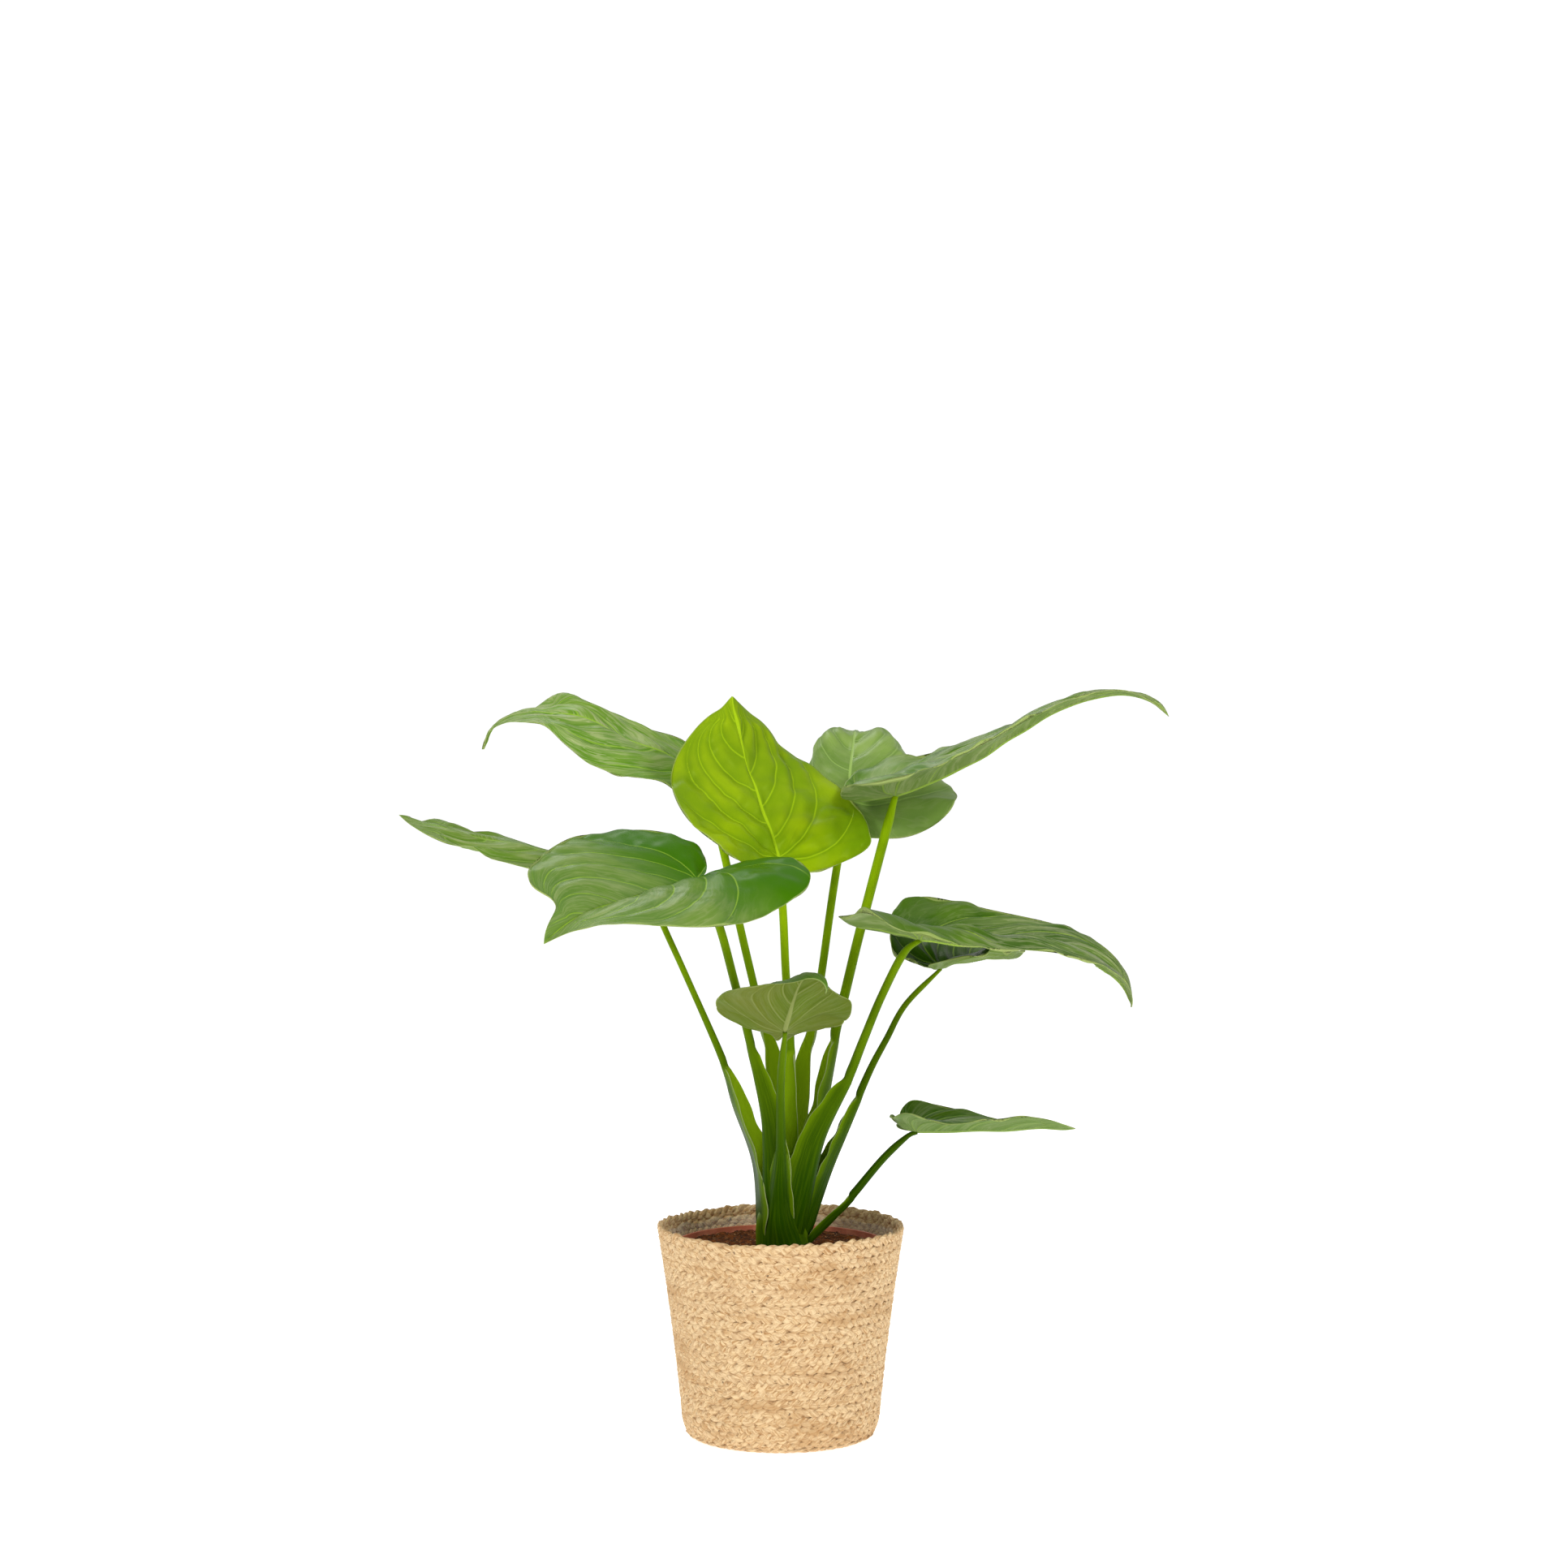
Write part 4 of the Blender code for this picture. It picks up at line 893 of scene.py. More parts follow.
def build_stray_fibres(finish):
    """Loose fibres: each a thin three-sided tube that rises from the rope and bends as it goes."""
    random = np.random.default_rng(FIBRE_SEED)
    count = STRAY_FIBRES
    turn = random.uniform(0, math.tau, count)
    height = BASKET_TOP - 3 - FIBRE_REACH * random.uniform(0, 1, count) ** 1.7
    start_r = wall_radius(height) - 0.6
    start = np.stack([start_r * np.cos(turn), start_r * np.sin(turn), height], axis=-1)
    outward = np.stack([np.cos(turn), np.sin(turn), np.zeros(count)], axis=-1)
    along = np.stack([-np.sin(turn), np.cos(turn), np.zeros(count)], axis=-1)
    lean = random.normal(size=(count, 1))
    length = random.uniform(*FIBRE_LENGTHS, (count, 1))
    way = unit(outward * 0.45 + along * lean + np.array([0, 0, 1]) * random.normal(0, 0.5, (count, 1)))
    bend = unit(random.normal(size=(count, 3))) * length * 0.3
    share = np.linspace(0, 1, FIBRE_POINTS)[None, :, None]
    middle = start[:, None] + way[:, None] * length[:, None] * share + bend[:, None] * share ** 2
    reach = np.linalg.norm(middle[..., :2], axis=-1)
    least = wall_radius(middle[..., 2]) - 0.4
    middle[..., :2] *= (np.maximum(reach, least) / reach)[..., None]
    tangent = unit(np.gradient(middle, axis=1))
    side = unit(np.cross(tangent, np.array([0.2, 0.3, 0.93])))
    other = np.cross(tangent, side)
    angle = circle(FIBRE_SIDES)
    radius = (FIBRE_RADIUS * (1 - 0.6 * share))[..., None]
    section = np.cos(angle)[:, None] * side[:, :, None] + np.sin(angle)[:, None] * other[:, :, None]
    rings = middle[:, :, None] + radius * section
    shape = joined([closed_tube(rings[k], middle[k, 0], middle[k, -1]) for k in range(count)])
    points = shape[0]
    tone = np.repeat(random.uniform(0.3, 1, count), len(points) // count)
    proud = np.ones(len(points))
    values = {"run": points[:, 2], "turn": points[:, 0] * 0.1, "proud": proud, "tone": tone}
    add_piece("stray_fibres", shape, values, finish, ["basket"])


def build_basket():
    """Rows of plait, the core behind them and loose fibres."""
    rope = rope_finish()
    ends = [*FIRST_ROWS.values(), len(basket_rows()[0])][1:]
    for (name, first), end in zip(FIRST_ROWS.items(), ends):
        plait_piece(name, range(first, end), rope)
    build_core()
    build_stray_fibres(rope)


# Film, pot and soil

def crumpled(grid):
    """Film folded inwards and waved at its top edge, more towards the top."""
    x, y, z = np.moveaxis(grid, -1, 0)
    turn = np.arctan2(y, x)
    high = ease((z - 120) / 75)
    flat = np.stack([turn * FILM_UNROLLED, z * 0.5], axis=-1)
    inward = 1.1 * high * (ripple(flat, FILM_SEED, 34, 7) - 1.0)
    scale = 1 + inward / np.maximum(np.hypot(x, y), 1)
    round_it = np.stack([turn * FILM_UNROLLED, turn * 0], axis=-1)
    rise = 2.0 * high ** 3 * ripple(round_it, FILM_SEED + 2, 90, 20)
    return np.stack([x * scale, y * scale, z + rise], axis=-1)


def build_film():
    """Film liner with a crumpled, uneven top edge."""
    middle_radius = float(wall_radius(np.array(FILM_MIDDLE))) - BASKET_WALL - FILM_GAP
    outer = [(FILM_BASE_RADIUS - FILM, FILM_FLOOR), (middle_radius, FILM_MIDDLE)]
    for share in np.linspace(0, 1, 16)[1:]:
        radius = middle_radius + (FILM_TOP_RADIUS - middle_radius) * share
        outer.append((radius, FILM_MIDDLE + (FILM_TOP - FILM_MIDDLE) * share))
    inner = [(r - FILM, max(z, FILM_FLOOR + FILM)) for r, z in outer[::-1]]
    profile = [(0, FILM_FLOOR)] + outer + inner + [(0, FILM_FLOOR + FILM)]
    turned("film", profile, FILM_STEPS, film_finish(), ["liner"], crumpled)


def pot_profile():
    """The nursery pot's section, with rounded corners on its lip."""
    step = POT_TOP - POT_LIP_HEIGHT
    body = POT_LIP_RADIUS - POT_LIP_STEP
    turn = np.linspace(0, math.pi, 7)
    middle = POT_LIP_RADIUS - POT_WALL / 2
    crest = [(middle + POT_WALL / 2 * math.cos(a), POT_TOP - 0.8 + 0.8 * math.sin(a)) for a in turn]
    outside = [
        (POT_BASE_RADIUS - 1.8, POT_FLOOR),
        (POT_BASE_RADIUS - 0.6, POT_FLOOR + 0.5),
        (POT_BASE_RADIUS, POT_FLOOR + 2),
        (body, step - 1.0),
        (POT_LIP_RADIUS - 1.0, step - 1.0),
        (POT_LIP_RADIUS - 0.3, step - 0.4),
    ]
    inside = [
        (POT_LIP_RADIUS - POT_WALL - 0.4, step + POT_LIP_STEP),
        (body - POT_WALL, step),
        (POT_BASE_RADIUS - POT_WALL, POT_FLOOR + POT_WALL + 1),
        (POT_BASE_RADIUS - POT_WALL - 1, POT_FLOOR + POT_WALL),
    ]
    return [(0, POT_FLOOR)] + outside + crest + inside + [(0, POT_FLOOR + POT_WALL)]


def build_pot():
    """Thin pot with a rounded lip and drain holes through its floor."""
    pot = turned("pot", pot_profile(), POT_STEPS, pot_finish(), ["nursery_pot"])
    for hole in range(POT_DRAINS):
        angle = math.tau * (hole + 0.5) / POT_DRAINS
        x = POT_DRAIN_CIRCLE * math.cos(angle) * MM
        y = POT_DRAIN_CIRCLE * math.sin(angle) * MM
        bpy.ops.mesh.primitive_cylinder_add(
            vertices=20, radius=POT_DRAIN_RADIUS * MM, depth=8 * MM, location=(x, y, POT_FLOOR * MM)
        )
        bit = bpy.context.object
        cut = pot.modifiers.new("Drain", "BOOLEAN")
        cut.object = bit
        cut.operation = "DIFFERENCE"
        cut.solver = "EXACT"
        settle(pot)
        bpy.data.objects.remove(bit, do_unlink=True)


def settle(piece):
    """Replace a piece's mesh by what its modifiers make of it."""
    graph = bpy.context.evaluated_depsgraph_get()
    made = bpy.data.meshes.new_from_object(piece.evaluated_get(graph), depsgraph=graph)
    piece.modifiers.clear()
    piece.data = made


def soil_height(x, y):
    """Height of the potting mix: low bumps, higher near the stem."""
    flat = np.stack([x, y], axis=-1)
    far = np.hypot(x, y)
    edge = ease((SOIL_EDGE - far) / 8)
    mound = 2.0 * (1 - ease(far / 80))
    return SOIL_TOP - 1.5 + 2.6 * edge + mound + edge * 1.3 * ripple(flat, SOIL_SEED, 26, 5, 22)


def build_soil():
    """Bumpy top from the stem's hole to the pot, then a plain body below."""
    turn = circle(SOIL_STEPS)
    cos, sin = np.cos(turn), np.sin(turn)
    level = np.ones(SOIL_STEPS)
    hole_x = STEM_X + (STEM_HALF_WIDTH + SOIL_GAP) * cos
    hole_y = STEM_Y + (STEM_HALF_DEPTH + SOIL_GAP) * sin
    hole_floor = STEM_FOOT - SOIL_GAP
    wall = POT_WALL + SOIL_GAP
    rim = POT_LIP_RADIUS - wall - 1.3
    rows = [(hole_x, hole_y, level * hole_floor)]
    for share in np.linspace(0, 1, SOIL_RINGS):
        x = hole_x + (rim * cos - hole_x) * share
        y = hole_y + (rim * sin - hole_y) * share
        rows.append((x, y, soil_height(x, y)))
    body = POT_LIP_RADIUS - POT_LIP_STEP - wall - 0.2
    step = POT_TOP - POT_LIP_HEIGHT
    floor = POT_FLOOR + POT_WALL + SOIL_GAP
    foot = POT_BASE_RADIUS - wall - 0.5
    for radius, height in ((rim, step + POT_LIP_STEP), (body, step - 1), (foot, floor)):
        rows.append((radius * cos, radius * sin, level * height))
    grid = np.array(rows).transpose(0, 2, 1)
    shape = closed_tube(grid, (STEM_X, STEM_Y, hole_floor), (0, 0, floor), flip=True)
    add_piece("soil_bed", shape, {}, soil_finish(), ["soil"])
    build_chips()


def build_chips():
    """Bark chips and fibres strewn on the mix: stretched, turned boxes half sunk in it."""
    random = np.random.default_rng(CHIP_SEED)
    count = SOIL_CHIPS
    turn = random.uniform(0, math.tau, count)
    far = CHIP_REACH * np.sqrt(random.uniform(0.075, 1, count))
    x, y = far * np.cos(turn), far * np.sin(turn)
    kind = random.uniform(0, 1, count) ** 2
    length = 1.2 + 5.5 * kind * random.uniform(0.4, 1.4, count)
    breadth = np.where(kind > 0.5, random.uniform(0.2, 0.45, count), random.uniform(0.5, 1.6, count))
    depth = np.minimum(breadth, random.uniform(0.2, 0.8, count))
    heading = random.uniform(0, math.tau, count)
    tilt = random.normal(0, 0.28, count)
    flat = np.cos(tilt)
    ahead = np.stack([np.cos(heading) * flat, np.sin(heading) * flat, np.sin(tilt)], axis=-1)
    side = unit(np.cross(np.array([0, 0, 1.0]), ahead))
    up = np.cross(ahead, side)
    near = np.hypot((x - STEM_X) / (STEM_HALF_WIDTH + 4), (y - STEM_Y) / (STEM_HALF_DEPTH + 4))
    keep = (near > 1) & (far + length / 2 < SOIL_EDGE - 1)
    lift = 0.25 * depth + 0.25 * np.abs(np.sin(tilt)) * length
    centre = np.stack([x, y, soil_height(x, y) + lift], axis=-1)
    corner = np.array([(a, b, c) for a in (-1, 1) for b in (-1, 1) for c in (-1, 1)], float) / 2
    taper = 1 - 0.45 * (corner[:, 0] > 0)
    parts = corner[:, 0][None, :, None] * (length[:, None] * ahead)[:, None]
    parts = parts + (corner[:, 1] * taper)[None, :, None] * (breadth[:, None] * side)[:, None]
    parts = parts + (corner[:, 2] * taper)[None, :, None] * (depth[:, None] * up)[:, None]
    points = (centre[:, None] + parts)[keep]
    box = np.array([(0, 1, 3, 2), (4, 6, 7, 5), (0, 4, 5, 1), (2, 3, 7, 6), (0, 2, 6, 4), (1, 5, 7, 3)])
    quads = (np.arange(len(points))[:, None, None] * 8 + box).reshape(-1, 4)
    tones = np.repeat((random.uniform(0, 1, count) ** 1.6)[keep], 8)
    shape = (points.reshape(-1, 3), quads, NO_TRIANGLES)
    add_piece("soil_chips", shape, {"tone": tones}, chip_finish())


# Stalks

def smooth_route(points, samples):
    """A smooth curve through given points, evenly sampled, as (places, directions)."""
    points = np.array(points, float)
    ends = np.vstack([2 * points[0] - points[1], points, 2 * points[-1] - points[-2]])
    dense = []
    for i in range(1, len(ends) - 2):
        p0, p1, p2, p3 = ends[i - 1:i + 3]
        for t in np.linspace(0, 1, 24, endpoint=False):
            bend = 2 * p1 + (p2 - p0) * t + (2 * p0 - 5 * p1 + 4 * p2 - p3) * t ** 2
            dense.append((bend + (3 * p1 - p0 - 3 * p2 + p3) * t ** 3) / 2)
    dense.append(points[-1])
    dense = np.array(dense)
    run = distance_along(dense)
    at = np.array(samples) * run[-1]
    ways = looked_up(at, run, np.gradient(dense, run, axis=0))
    return looked_up(at, run, dense), unit(ways)


def stalk_section(height, leaf):
    """Sizes in mm of a stalk's section at heights above the route base, as in the CAD part.

    Returns the radius of the round stalk, how far it is opened into a sheath (0 to 1) and the
    arc length of its two wings.
    """
    share = np.clip(1 - height / leaf["sheath_top"], 0, 1)
    opened = ease(share * 14) * ease((height - 6) / 14)
    hug = 0.45 + 0.55 * ease(height / 45)
    rod = leaf["radius"] + leaf["swell"] * np.clip(1 - height / 260, 0, 1) ** 1.5
    rod = rod * (0.55 + 0.45 * ease(height / 35))
    spread = share ** 0.5
    wings = []
    for wing in leaf["wings"]:
        wings.append(rod + opened * np.maximum(0, wing * spread * hug - rod))
    return rod, opened, wings[0], wings[1]


def section_points(u, rod, opened, left, right, wrap, thin):
    """Places across and out, of the outer and inner face of a section, at shares u of its width.

    The middle line is an arc that turns by the wrap angle at each edge. The faces lie off it by
    half a circle where the stalk is round, and by a keel that thins to the edges where it opens.
    """
    width = np.where(u >= 0, right[:, None], left[:, None])
    turn = np.maximum(opened * np.radians(wrap), 1e-3)[:, None]
    across = width / turn * np.sin(turn * u)
    inward = width / turn * (1 - np.cos(turn * np.abs(u)))
    round_face = np.maximum(rod[:, None] * np.sqrt(np.clip(1 - u ** 2, 0, 1)), thin)
    keel = np.exp(-1.1 * (u * width / rod[:, None]) ** 2)
    outer_keel = thin + 1.05 * rod[:, None] * keel
    inner_keel = thin + 0.2 * rod[:, None] * keel
    outer = (1 - opened[:, None]) * round_face + opened[:, None] * outer_keel
    inner = (1 - opened[:, None]) * round_face + opened[:, None] * inner_keel
    normal_across, normal_out = np.sin(turn * u), np.cos(turn * u)
    faces = []
    for off in (outer, -inner):
        faces.append((across + off * normal_across, -inward + off * normal_out))
    return faces


def clasping(height, opened, left, right, wrap):
    """A stalk's section with its low part opened into a wide sheath."""
    low = np.clip(1 - height / CLASP_TOP, 0, 1)
    opened = np.maximum(opened, ease(8 * low))
    left = np.maximum(left, CLASP_WIDTH * low)
    right = np.maximum(right, CLASP_WIDTH * low)
    return opened, left, right, wrap + (CLASP_WRAP - wrap) * low


def stalk_values(height, u, is_inner, opened):
    """What the stalk's colours go by, at each point and at the two ends."""
    opened = opened[:, None]
    tables = {
        "high": height[:, None],
        "edge": np.abs(u) ** 14 * opened,
        "wing": np.abs(u) * opened,
        "inner": is_inner * opened,
        "turn": u + 2 * is_inner,
    }
    values = {}
    for key, table in tables.items():
        table = np.broadcast_to(table, (len(height), len(u)))
        values[key] = np.concatenate([np.ravel(table), table[[0, -1], 0]])
    return values


def build_stalk(number, name, leaf, finish):
    """One stalk: its section carried along its route, closed at both ends."""
    lift_up = np.array([0.0, 0.0, ROUTE_BASE])
    seat = stalk_seat(leaf) - lift_up
    samples = np.linspace(0, 1, STALK_RINGS) ** 1.1
    places, ways = smooth_route(leaf["route"] + [tuple(seat)], samples)
    faces = math.radians(leaf["faces"])
    outward = np.array([math.cos(faces), math.sin(faces), 0.0])
    height = places[:, 2]
    rod, opened, left, right = stalk_section(height, leaf)
    slim = 1 - 0.35 * ease(1 - np.linalg.norm(places - places[-1], axis=1) / 30)
    rod, left, right = rod * slim, left * slim, right * slim
    wrap = leaf["wrap"]
    if name == CLASPING:
        opened, left, right, wrap = clasping(height, opened, left, right, wrap)
        places = places + outward * CLASP_FORWARD * (1 - ease(height / 60))[:, None]
    side = unit(np.cross(ways, outward))
    out = np.cross(side, ways)
    half = STALK_SIDES // 2
    u = np.sin(np.linspace(-math.pi / 2, math.pi / 2, half))
    outer, inner = section_points(u[None, :], rod, opened, left, right, wrap, SHEATH_THIN)
    across, depth = [np.concatenate([a, b[:, ::-1]], axis=1) for a, b in zip(outer, inner)]
    u = np.concatenate([u, u[::-1]])
    is_inner = np.repeat([0.0, 1.0], half)
    long_way = np.stack(np.broadcast_arrays(height[:, None] / 24, u[None, :] * 1.2), axis=-1)
    flutter = ripple(long_way, STALK_SEED + number, 2.4, 0.8, 10) * opened[:, None] * np.abs(u) ** 2
    depth = depth + 1.5 * flutter
    grid = places[:, None] + side[:, None] * across[..., None] + out[:, None] * depth[..., None]
    shape = closed_tube(grid + lift_up, places[0] + lift_up, places[-1] + lift_up)
    values = stalk_values(height, u, is_inner, opened)
    add_piece("stalk_" + name, shape, values, finish, ["stalks"])


def build_stem(finish):
    """Short stem: an upright elliptic plug that tapers above the soil."""
    profile = [(STEM_HALF_WIDTH, z) for z in np.linspace(STEM_FOOT, STEM_SHOULDER, 10)]
    for share in np.linspace(0, 1, 14)[1:-1]:
        radius = STEM_HALF_WIDTH + (STEM_NECK - STEM_HALF_WIDTH) * ease(5 * share)
        radius = radius * (1 - share ** 1.6) ** 0.8
        profile.append((radius, STEM_SHOULDER + (STEM_TOP - STEM_SHOULDER) * share))
    radius, height = np.array(profile).T[:, :, None]
    turn = circle(STEM_STEPS)
    x = STEM_X + radius * np.cos(turn)
    y = STEM_Y + radius * np.sin(turn) * STEM_HALF_DEPTH / STEM_HALF_WIDTH
    grid = np.stack([x, y, np.broadcast_to(height, x.shape)], axis=-1)
    shape = closed_tube(grid, (STEM_X, STEM_Y, STEM_FOOT), (STEM_X, STEM_Y, STEM_TOP))
    turns = np.concatenate([np.broadcast_to(np.sin(turn), x.shape).ravel(), [0, 0]])
    high = shape[0][:, 2] - ROUTE_BASE
    none = np.zeros(len(high))
    values = {"high": high, "edge": none, "wing": none, "inner": none, "turn": turns}
    add_piece("stem", shape, values, finish, ["stalks"])


# Leaf blades

def local_change(theta, bumps):
    """Sum of smooth local bumps of the margin, each (degrees from the tip, width in degrees, mm)."""
    total = np.zeros_like(theta)
    for middle, width, size in bumps:
        total = total + size * np.exp(-((theta - math.radians(middle)) / math.radians(width)) ** 2)
    return total


def sided(pair, left):
    """The left or the right one of a pair of values at each place."""
    return np.where(left, pair[0], pair[1])


def blade_outline(theta, leaf):
    """Distance from the junction to the margin at an angle from the midrib, in mm.

    A rounded oval, on which the powers of the shares along and across add up to one, with a drip
    tip that fades away from the midrib, local bumps, and a notch between the lobes.
    """
    left = theta >= 0
    turn = np.abs(theta)
    half_width = sided(leaf["width"], left)
    ahead = leaf["length"] * (1 - leaf["drip_tip"])
    along = np.where(np.cos(turn) > 0, ahead, sided(leaf["lobe"], left))
    lengthwise = (np.abs(np.cos(turn)) / along) ** BLADE_ROUNDNESS
    sideways = (np.abs(np.sin(turn)) / half_width) ** BLADE_ROUNDNESS
    reach = (lengthwise + sideways) ** (-1 / BLADE_ROUNDNESS)
    reach = reach + leaf["drip_tip"] * leaf["length"] * np.exp(-turn / DRIP_WIDTH)
    reach = reach + local_change(theta, leaf.get("margin_out", ()))
    return reach * (1 - NOTCH_DEPTH * np.exp(-((math.pi - turn) / NOTCH_WIDTH) ** 2))


def midrib(leaf, along):
    """Place and frame (left, up) on the bent midrib at shares of the leaf's length."""
    share = np.linspace(-0.6, 1.15, 176)
    ahead = np.clip(share, 0, None)
    behind = np.clip(share, None, 0)
    rise = leaf["rise"] - leaf["droop"] * ahead - leaf["hook"] * ahead ** 4 - leaf["lobe_droop"] * behind
    rise = np.radians(rise)
    bearing = np.radians(leaf["bearing"] + leaf["swing"] * ahead)
    roll = np.radians(leaf["roll"] + leaf["twist"] * ahead)[:, None]
    flat = np.cos(rise)
    ways = np.stack([flat * np.cos(bearing), flat * np.sin(bearing), np.sin(rise)], axis=-1)
    up = np.stack([-np.sin(rise) * np.cos(bearing), -np.sin(rise) * np.sin(bearing), flat], axis=-1)
    left = np.cross(up, ways)
    rolled_left = np.cos(roll) * left + np.sin(roll) * up
    rolled_up = np.cos(roll) * up - np.sin(roll) * left
    step = (share[1] - share[0]) * leaf["length"]
    line = np.concatenate([np.zeros((1, 3)), np.cumsum((ways[1:] + ways[:-1]) / 2 * step, axis=0)])
    line = line - looked_up(0, share, line)
    return [looked_up(along, share, table) for table in (line, rolled_left, rolled_up)]


def stalk_seat(leaf):
    """Where a stalk ends, just under its blade, in mm."""
    up = midrib(leaf, np.array([0.0]))[2][0]
    return np.array(leaf["junction"]) - up * STALK_SEAT


def margin_wave(radial, theta, leaf):
    """Height in mm of the waves of the blade's margin."""
    left = theta >= 0
    turn = np.abs(theta)
    phase = np.radians(sided(leaf["phase"], left))
    fade = np.clip(turn / 0.25, 0, 1) * np.clip((math.pi - turn) / 0.4, 0, 1)
    wave = sided(leaf["wave"], left) * np.sin(sided(leaf["waves"], left) * turn + phase)
    wave = wave * radial ** 3 * fade
    return wave + local_change(theta, leaf.get("margin_up", ())) * radial ** 3


def blade_points(radial, theta, leaf):
    """Points of the blade's middle surface in mm.

    The outline is drawn flat, folded up along the midrib by an angle that changes towards the
    tip and across each half, bent along the midrib, and waved at the margin.
    """
    theta = np.mod(theta + math.pi, math.tau) - math.pi
    reach = radial * blade_outline(theta, leaf)
    along = reach * np.cos(theta) / leaf["length"]
    across = np.abs(reach * np.sin(theta))
    left = theta >= 0
    share = np.clip(along, 0, 1)
    fold = sided(leaf["fold"], left)
    curl = np.radians(sided(leaf["curl"], left)) / sided(leaf["width"], left)
    start = np.radians(fold + (sided(leaf["open"], left) - fold) * share)
    lean = start + curl * across
    wave = margin_wave(radial, theta, leaf)
    sideways = (np.sin(lean) - np.sin(start)) / curl - wave * np.sin(lean)
    raised = (np.cos(start) - np.cos(lean)) / curl + wave * np.cos(lean)
    raised = raised + leaf.get("channel", 0) * ease(share / 0.6) * (1 - np.exp(-(across / 22) ** 2))
    line, side, up = midrib(leaf, along)
    sign = np.where(left, 1.0, -1.0)
    return line + (sign * sideways)[..., None] * side + raised[..., None] * up


def blade_normals(radial, theta, leaf):
    """Unit normals of the blade, on its upper side."""
    small = 0.006
    outward = blade_points(radial + small, theta, leaf) - blade_points(radial - small, theta, leaf)
    round_it = blade_points(radial, theta + small, leaf) - blade_points(radial, theta - small, leaf)
    return unit(np.cross(outward, round_it))


def vein_number(along, across, leaf, half_width):
    """A number that is whole on each side vein.

    Distances across are widened as the outline narrows, so that veins run to the tip. Ahead of the
    junction a vein that leaves the midrib at s runs along = s + lean across + bend across squared;
    behind it the veins fan out evenly from the junction.
    """
    ahead_share = np.clip(along / (leaf["length"] * (1 - leaf["drip_tip"])), 0, 0.985)
    across = across / (1 - ahead_share ** BLADE_ROUNDNESS) ** (1 / BLADE_ROUNDNESS)
    lifted = along - VEIN_BEND / half_width * across ** 2
    origin = lifted - VEIN_LEAN * across
    ahead = origin / (VEIN_SPACING * leaf["length"])
    behind = (math.atan(1 / VEIN_LEAN) - np.arctan2(across, lifted)) / VEIN_FAN
    return np.where(origin > 0, ahead, behind)


def vein_field(along, across, right, leaf):
    """Vein number at each point, and the distance in mm between two veins there."""
    half_width = sided(leaf["width"], ~right)
    here = vein_number(along, across, leaf, half_width)
    ahead = vein_number(along + 0.1, across, leaf, half_width) - here
    aside = vein_number(along, across + 0.1, leaf, half_width) - here
    gap = 0.1 / np.maximum(np.hypot(ahead, aside), 1e-4)
    return here + 0.45 * right, np.clip(gap, 0.5, 60)


def blade_distances(radial, theta, leaf):
    """What the skin's relief and colours go by, at each place of the blade.

    phase is the vein number, gap the way between veins, rim the way to the margin and reach the way
    to the junction, in mm; rib is the way to the midrib in widths of it, and ahead the share of
    the leaf's length.
    """
    outline = blade_outline(theta, leaf)
    reach = radial * outline
    along = reach * np.cos(theta)
    across = np.abs(reach * np.sin(theta))
    phase, gap = vein_field(along, across, theta < 0, leaf)
    thin, thick = RIB_WIDTHS
    ahead = along / leaf["length"]
    rib_width = thin + (thick - thin) * np.clip(1 - ahead, 0, 1)
    rib = np.hypot(across, np.clip(-along, 0, None)) / rib_width
    rim = outline * (1 - radial)
    return {"phase": phase, "gap": gap, "rim": rim, "rib": rib, "reach": reach, "ahead": ahead}


def blade_skin(radial, theta, middle, at, leaf, seed):
    """Height in mm of the skin over the middle surface: pillows between veins, creases, dents, frill."""
    phase, gap, rim, rib, reach = (at[key] for key in ("phase", "gap", "rim", "rib", "reach"))
    relief, even = leaf["relief"], leaf["even"]
    calm = ease(rim / 14) * ease(rib / 4) * ease(reach / 20)
    pillow = 0.5 - 0.5 * np.cos(math.tau * phase)
    skin = relief * calm * (pillow ** 0.6 - 0.6) * np.clip(gap / 16, 0, 1.3)
    crease = np.stack([phase * 1.3 + 7 * (theta < 0), reach / 110], axis=-1)
    creased = relief * 0.8 * (1 - even) * calm * np.clip(gap / 12, 0, 1)
    skin = skin + creased * ripple(crease, seed, 1.8, 0.55, 18)
    skin = skin + relief * 0.5 * even * calm * ripple(middle, seed + 70, 30, 14)
    skin = skin + relief * 0.8 * ease(reach / 25) * ripple(middle, seed + 50, 110, 34, 12)
    margin = np.linalg.norm(np.diff(middle[-1], axis=0, append=middle[-1][:1]), axis=1)
    run = np.stack([np.cumsum(margin), np.zeros(len(margin))], axis=-1)
    turn = np.abs(theta[-1])
    frill = ripple(run, seed + 90, 70, 20, 16) * ease(turn / 0.5) * ease((math.pi - turn) / 0.4)
    return skin + leaf["frill"] * radial ** 5 * frill


def blade_faces(at, size):
    """Heights in mm of the upper and under side off the skin: a groove over the midrib, ribs below."""
    phase, gap, rim, rib, reach = (at[key] for key in ("phase", "gap", "rim", "rib", "reach"))
    half = BLADE / 2 * (0.55 + 0.45 * ease(rim / 3))
    groove = 0.7 * np.exp(-(rib / 1.1) ** 2) * ease(rim / 6)
    ridge = 1.8 * size * np.exp(-(rib / 1.2) ** 2) * ease(rim / 10)
    off_vein = np.abs(np.mod(phase + 0.5, 1) - 0.5) * gap
    vein_ridge = 0.45 * np.exp(-(off_vein / 1.1) ** 2) * ease(rim / 14) * ease(reach / 10)
    callus = 1.5 * size * np.exp(-(reach / 7) ** 2)
    return half - groove, -half - np.maximum(ridge, vein_ridge) - callus


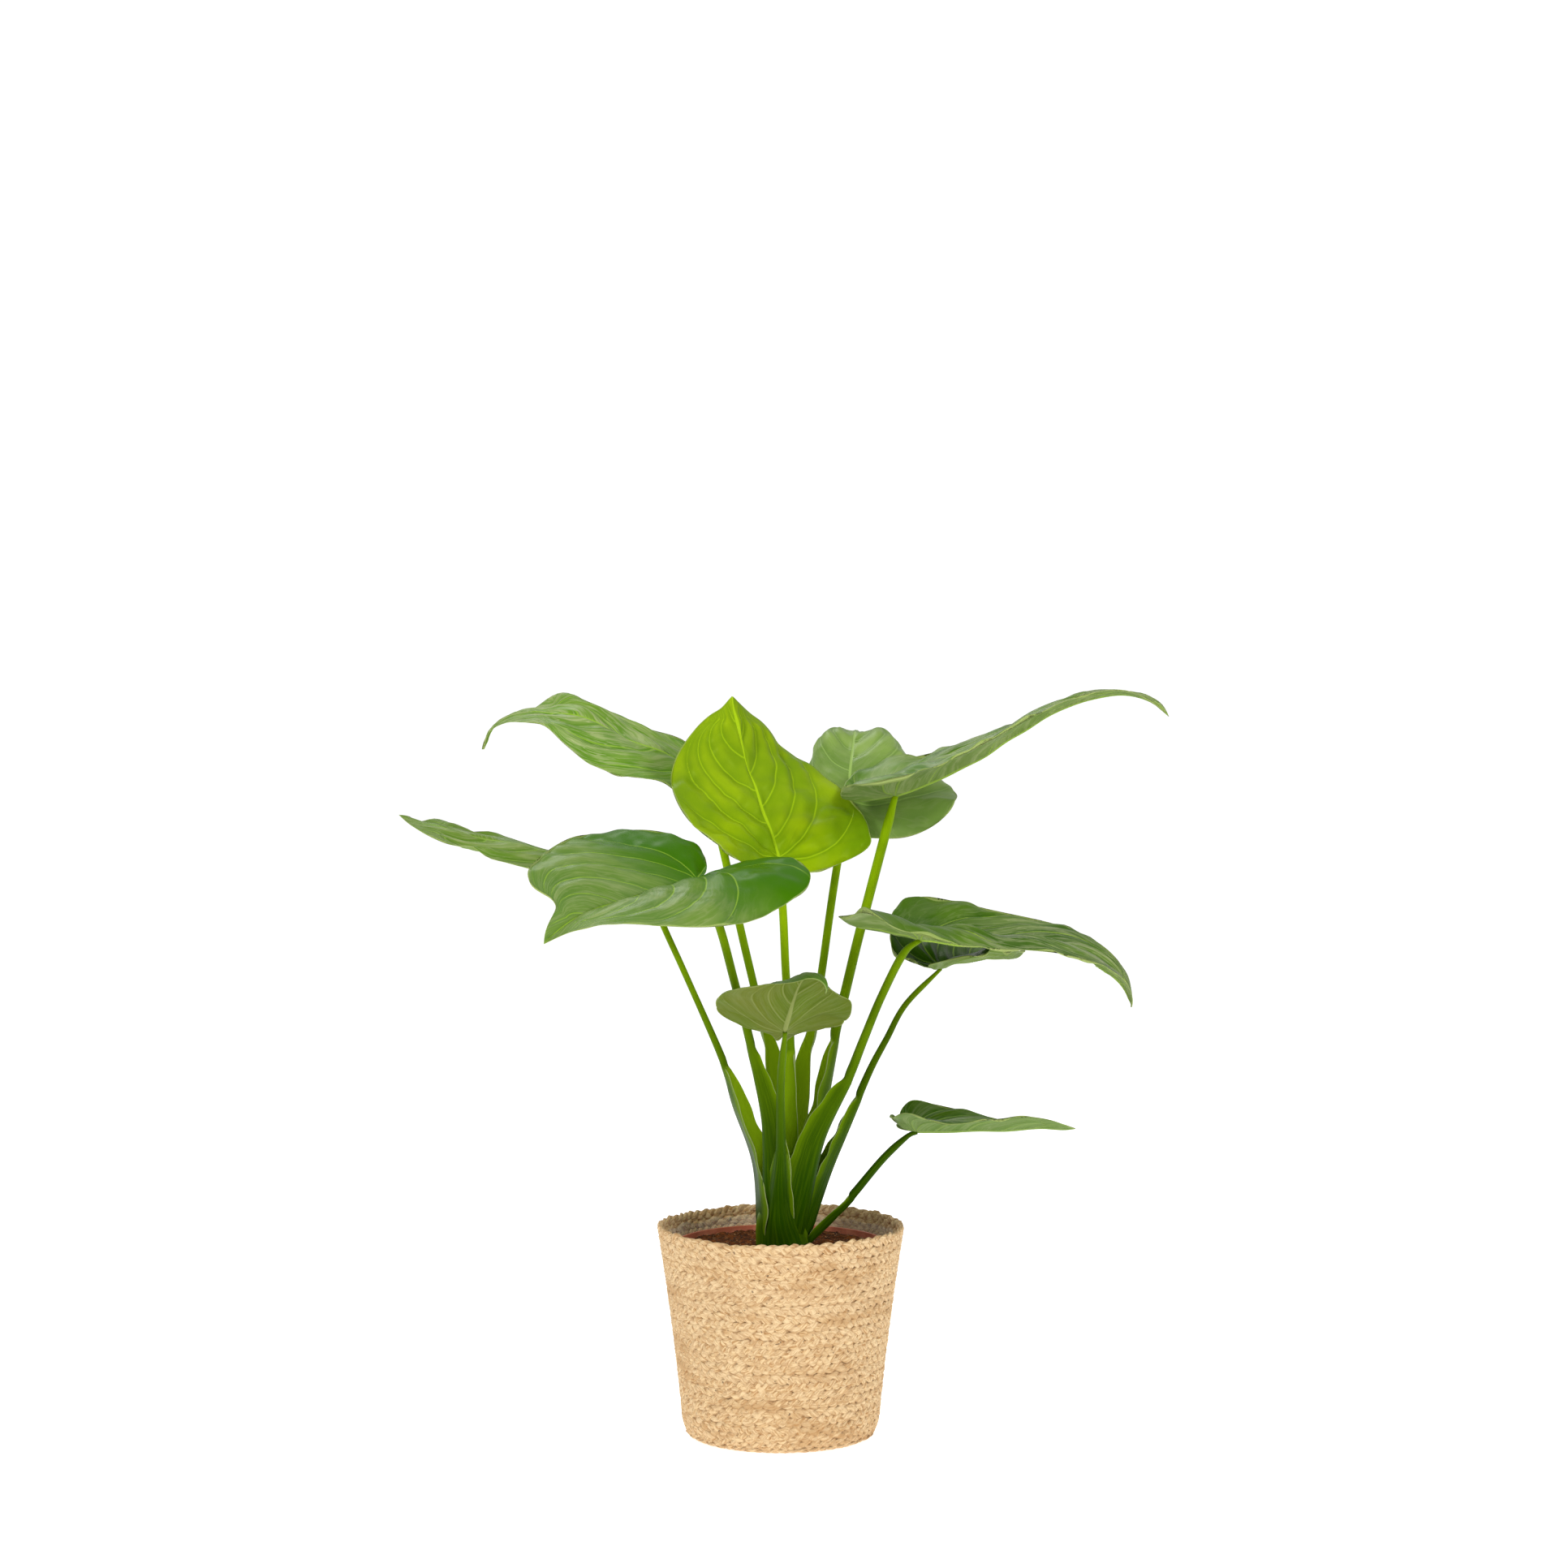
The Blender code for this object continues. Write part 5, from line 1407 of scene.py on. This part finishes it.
def on_both_sides(table, at_pole):
    """A value on the upper side, the margin, the under side and the two poles."""
    return np.concatenate([np.ravel(table), table[-1], np.ravel(table[::-1]), [at_pole, at_pole]])


def build_blade(number, name, leaf, finish):
    """A closed thin blade: a polar grid round the junction, quilted between sunken veins.

    Rows run from the upper side's pole to the margin and back to the under side's pole.
    """
    share = -1 + 2 * np.arange(BLADE_SPOKES) / BLADE_SPOKES
    theta = math.pi * np.sign(share) * np.abs(share) ** 1.5
    radial = (np.arange(1, BLADE_RINGS + 1) / BLADE_RINGS) ** 0.78
    radial, theta = np.meshgrid(radial, theta, indexing="ij")
    middle = blade_points(radial, theta, leaf)
    normals = blade_normals(radial, theta, leaf)
    at = blade_distances(radial, theta, leaf)
    size = min(1.0, leaf["length"] / 200)
    skin = blade_skin(radial, theta, middle, at, leaf, BLADE_SEED + number)
    over, below = blade_faces(at, size)
    top = middle + normals * (over + skin)[..., None]
    bottom = middle + normals * (below + skin)[..., None]
    edge = middle[-1] + unit(middle[-1] - middle[-2]) * 0.25
    junction = np.array(leaf["junction"])
    grid = np.concatenate([top, edge[None], bottom[::-1]]) + junction
    up = midrib(leaf, np.array([0.0]))[2][0]
    top_pole = junction + up * (BLADE / 2 - 0.5)
    low_pole = junction - up * (BLADE / 2 + 2.2 * size)
    shape = closed_tube(grid, top_pole, low_pole, flip=True)
    poles = {"gap": 5.0, "rim": 60.0}
    values = {key: on_both_sides(table, poles.get(key, 0.0)) for key, table in at.items()}
    margin = np.full(BLADE_SPOKES, 0.5)
    values["upper"] = np.concatenate([np.ones(radial.size), margin, np.zeros(radial.size), [1.0, 0.0]])
    add_piece("leaf_" + name, shape, values, finish, ["blade_" + name])


def build_plant():
    """Stem, stalks and blades."""
    green = stalk_finish("green", (0.23, 0.38, 0.002), (0.018, 0.062, 0.0003))
    fresh = stalk_finish("fresh", (0.29, 0.45, 0.002), (0.08, 0.19, 0.001))
    build_stem(stalk_finish("foot", (0.05, 0.1, 0.004), (0.03, 0.034, 0.007)))
    for number, (name, leaf) in enumerate(LEAVES.items()):
        build_stalk(number, name, leaf, fresh if name == "young" else green)
        build_blade(number, name, leaf, leaf_finish(name, LOOKS[name], leaf["even"]))


# Stage

def build_stage():
    """Pale floor, white surroundings, a soft key light from the left and a camera as in the photo."""
    bpy.ops.mesh.primitive_plane_add(size=40)
    floor = bpy.context.object
    floor.name = "floor"
    white = (1, 1, 1, 1)
    look = {
        "Roughness": 0.9, "Base Color": (0.93, 0.93, 0.93, 1),
        "Emission Color": white, "Emission Strength": 0.6,
    }
    floor.data.materials.append(new_finish("Pale floor", look)[0])
    world = bpy.data.worlds.new("Studio")
    bpy.context.scene.world = world
    world.use_nodes = True
    tree = world.node_tree
    seen = node(tree, "LightPath").outputs["Is Camera Ray"]
    tree.links.new(band(tree, seen, 0.0, 1.0, 0.5, 1.1), tree.nodes["Background"].inputs["Strength"])
    tree.nodes["Background"].inputs["Color"].default_value = white
    for name, (place_at, size, power) in LIGHTS.items():
        add_light(name, place_at, size, power)
    camera = bpy.data.objects.new("camera", bpy.data.cameras.new("camera"))
    camera.data.lens = CAMERA_LENS
    camera.data.sensor_width = CAMERA_SENSOR
    camera.location = CAMERA_PLACE
    camera.rotation_euler = (math.radians(90 - CAMERA_PITCH_DOWN), 0, 0)
    bpy.context.scene.collection.objects.link(camera)
    bpy.context.scene.camera = camera
    bpy.context.scene.view_settings.view_transform = "Standard"


def add_light(name, place_at, size, power):
    """A soft square light aimed at the middle of the plant."""
    light = bpy.data.lights.new(name, "AREA")
    light.size = size
    light.energy = power
    lamp = bpy.data.objects.new(name, light)
    bpy.context.scene.collection.objects.link(lamp)
    lamp.location = place_at
    aim = np.array(LIGHT_AIM) - np.array(place_at)
    steep = math.acos(aim[2] / np.linalg.norm(aim))
    lamp.rotation_euler = (math.pi - steep, 0, math.atan2(aim[1], aim[0]) - math.pi / 2)


def main():
    """Build every piece and the stage."""
    build_basket()
    build_film()
    build_pot()
    build_soil()
    build_plant()
    build_stage()


main()
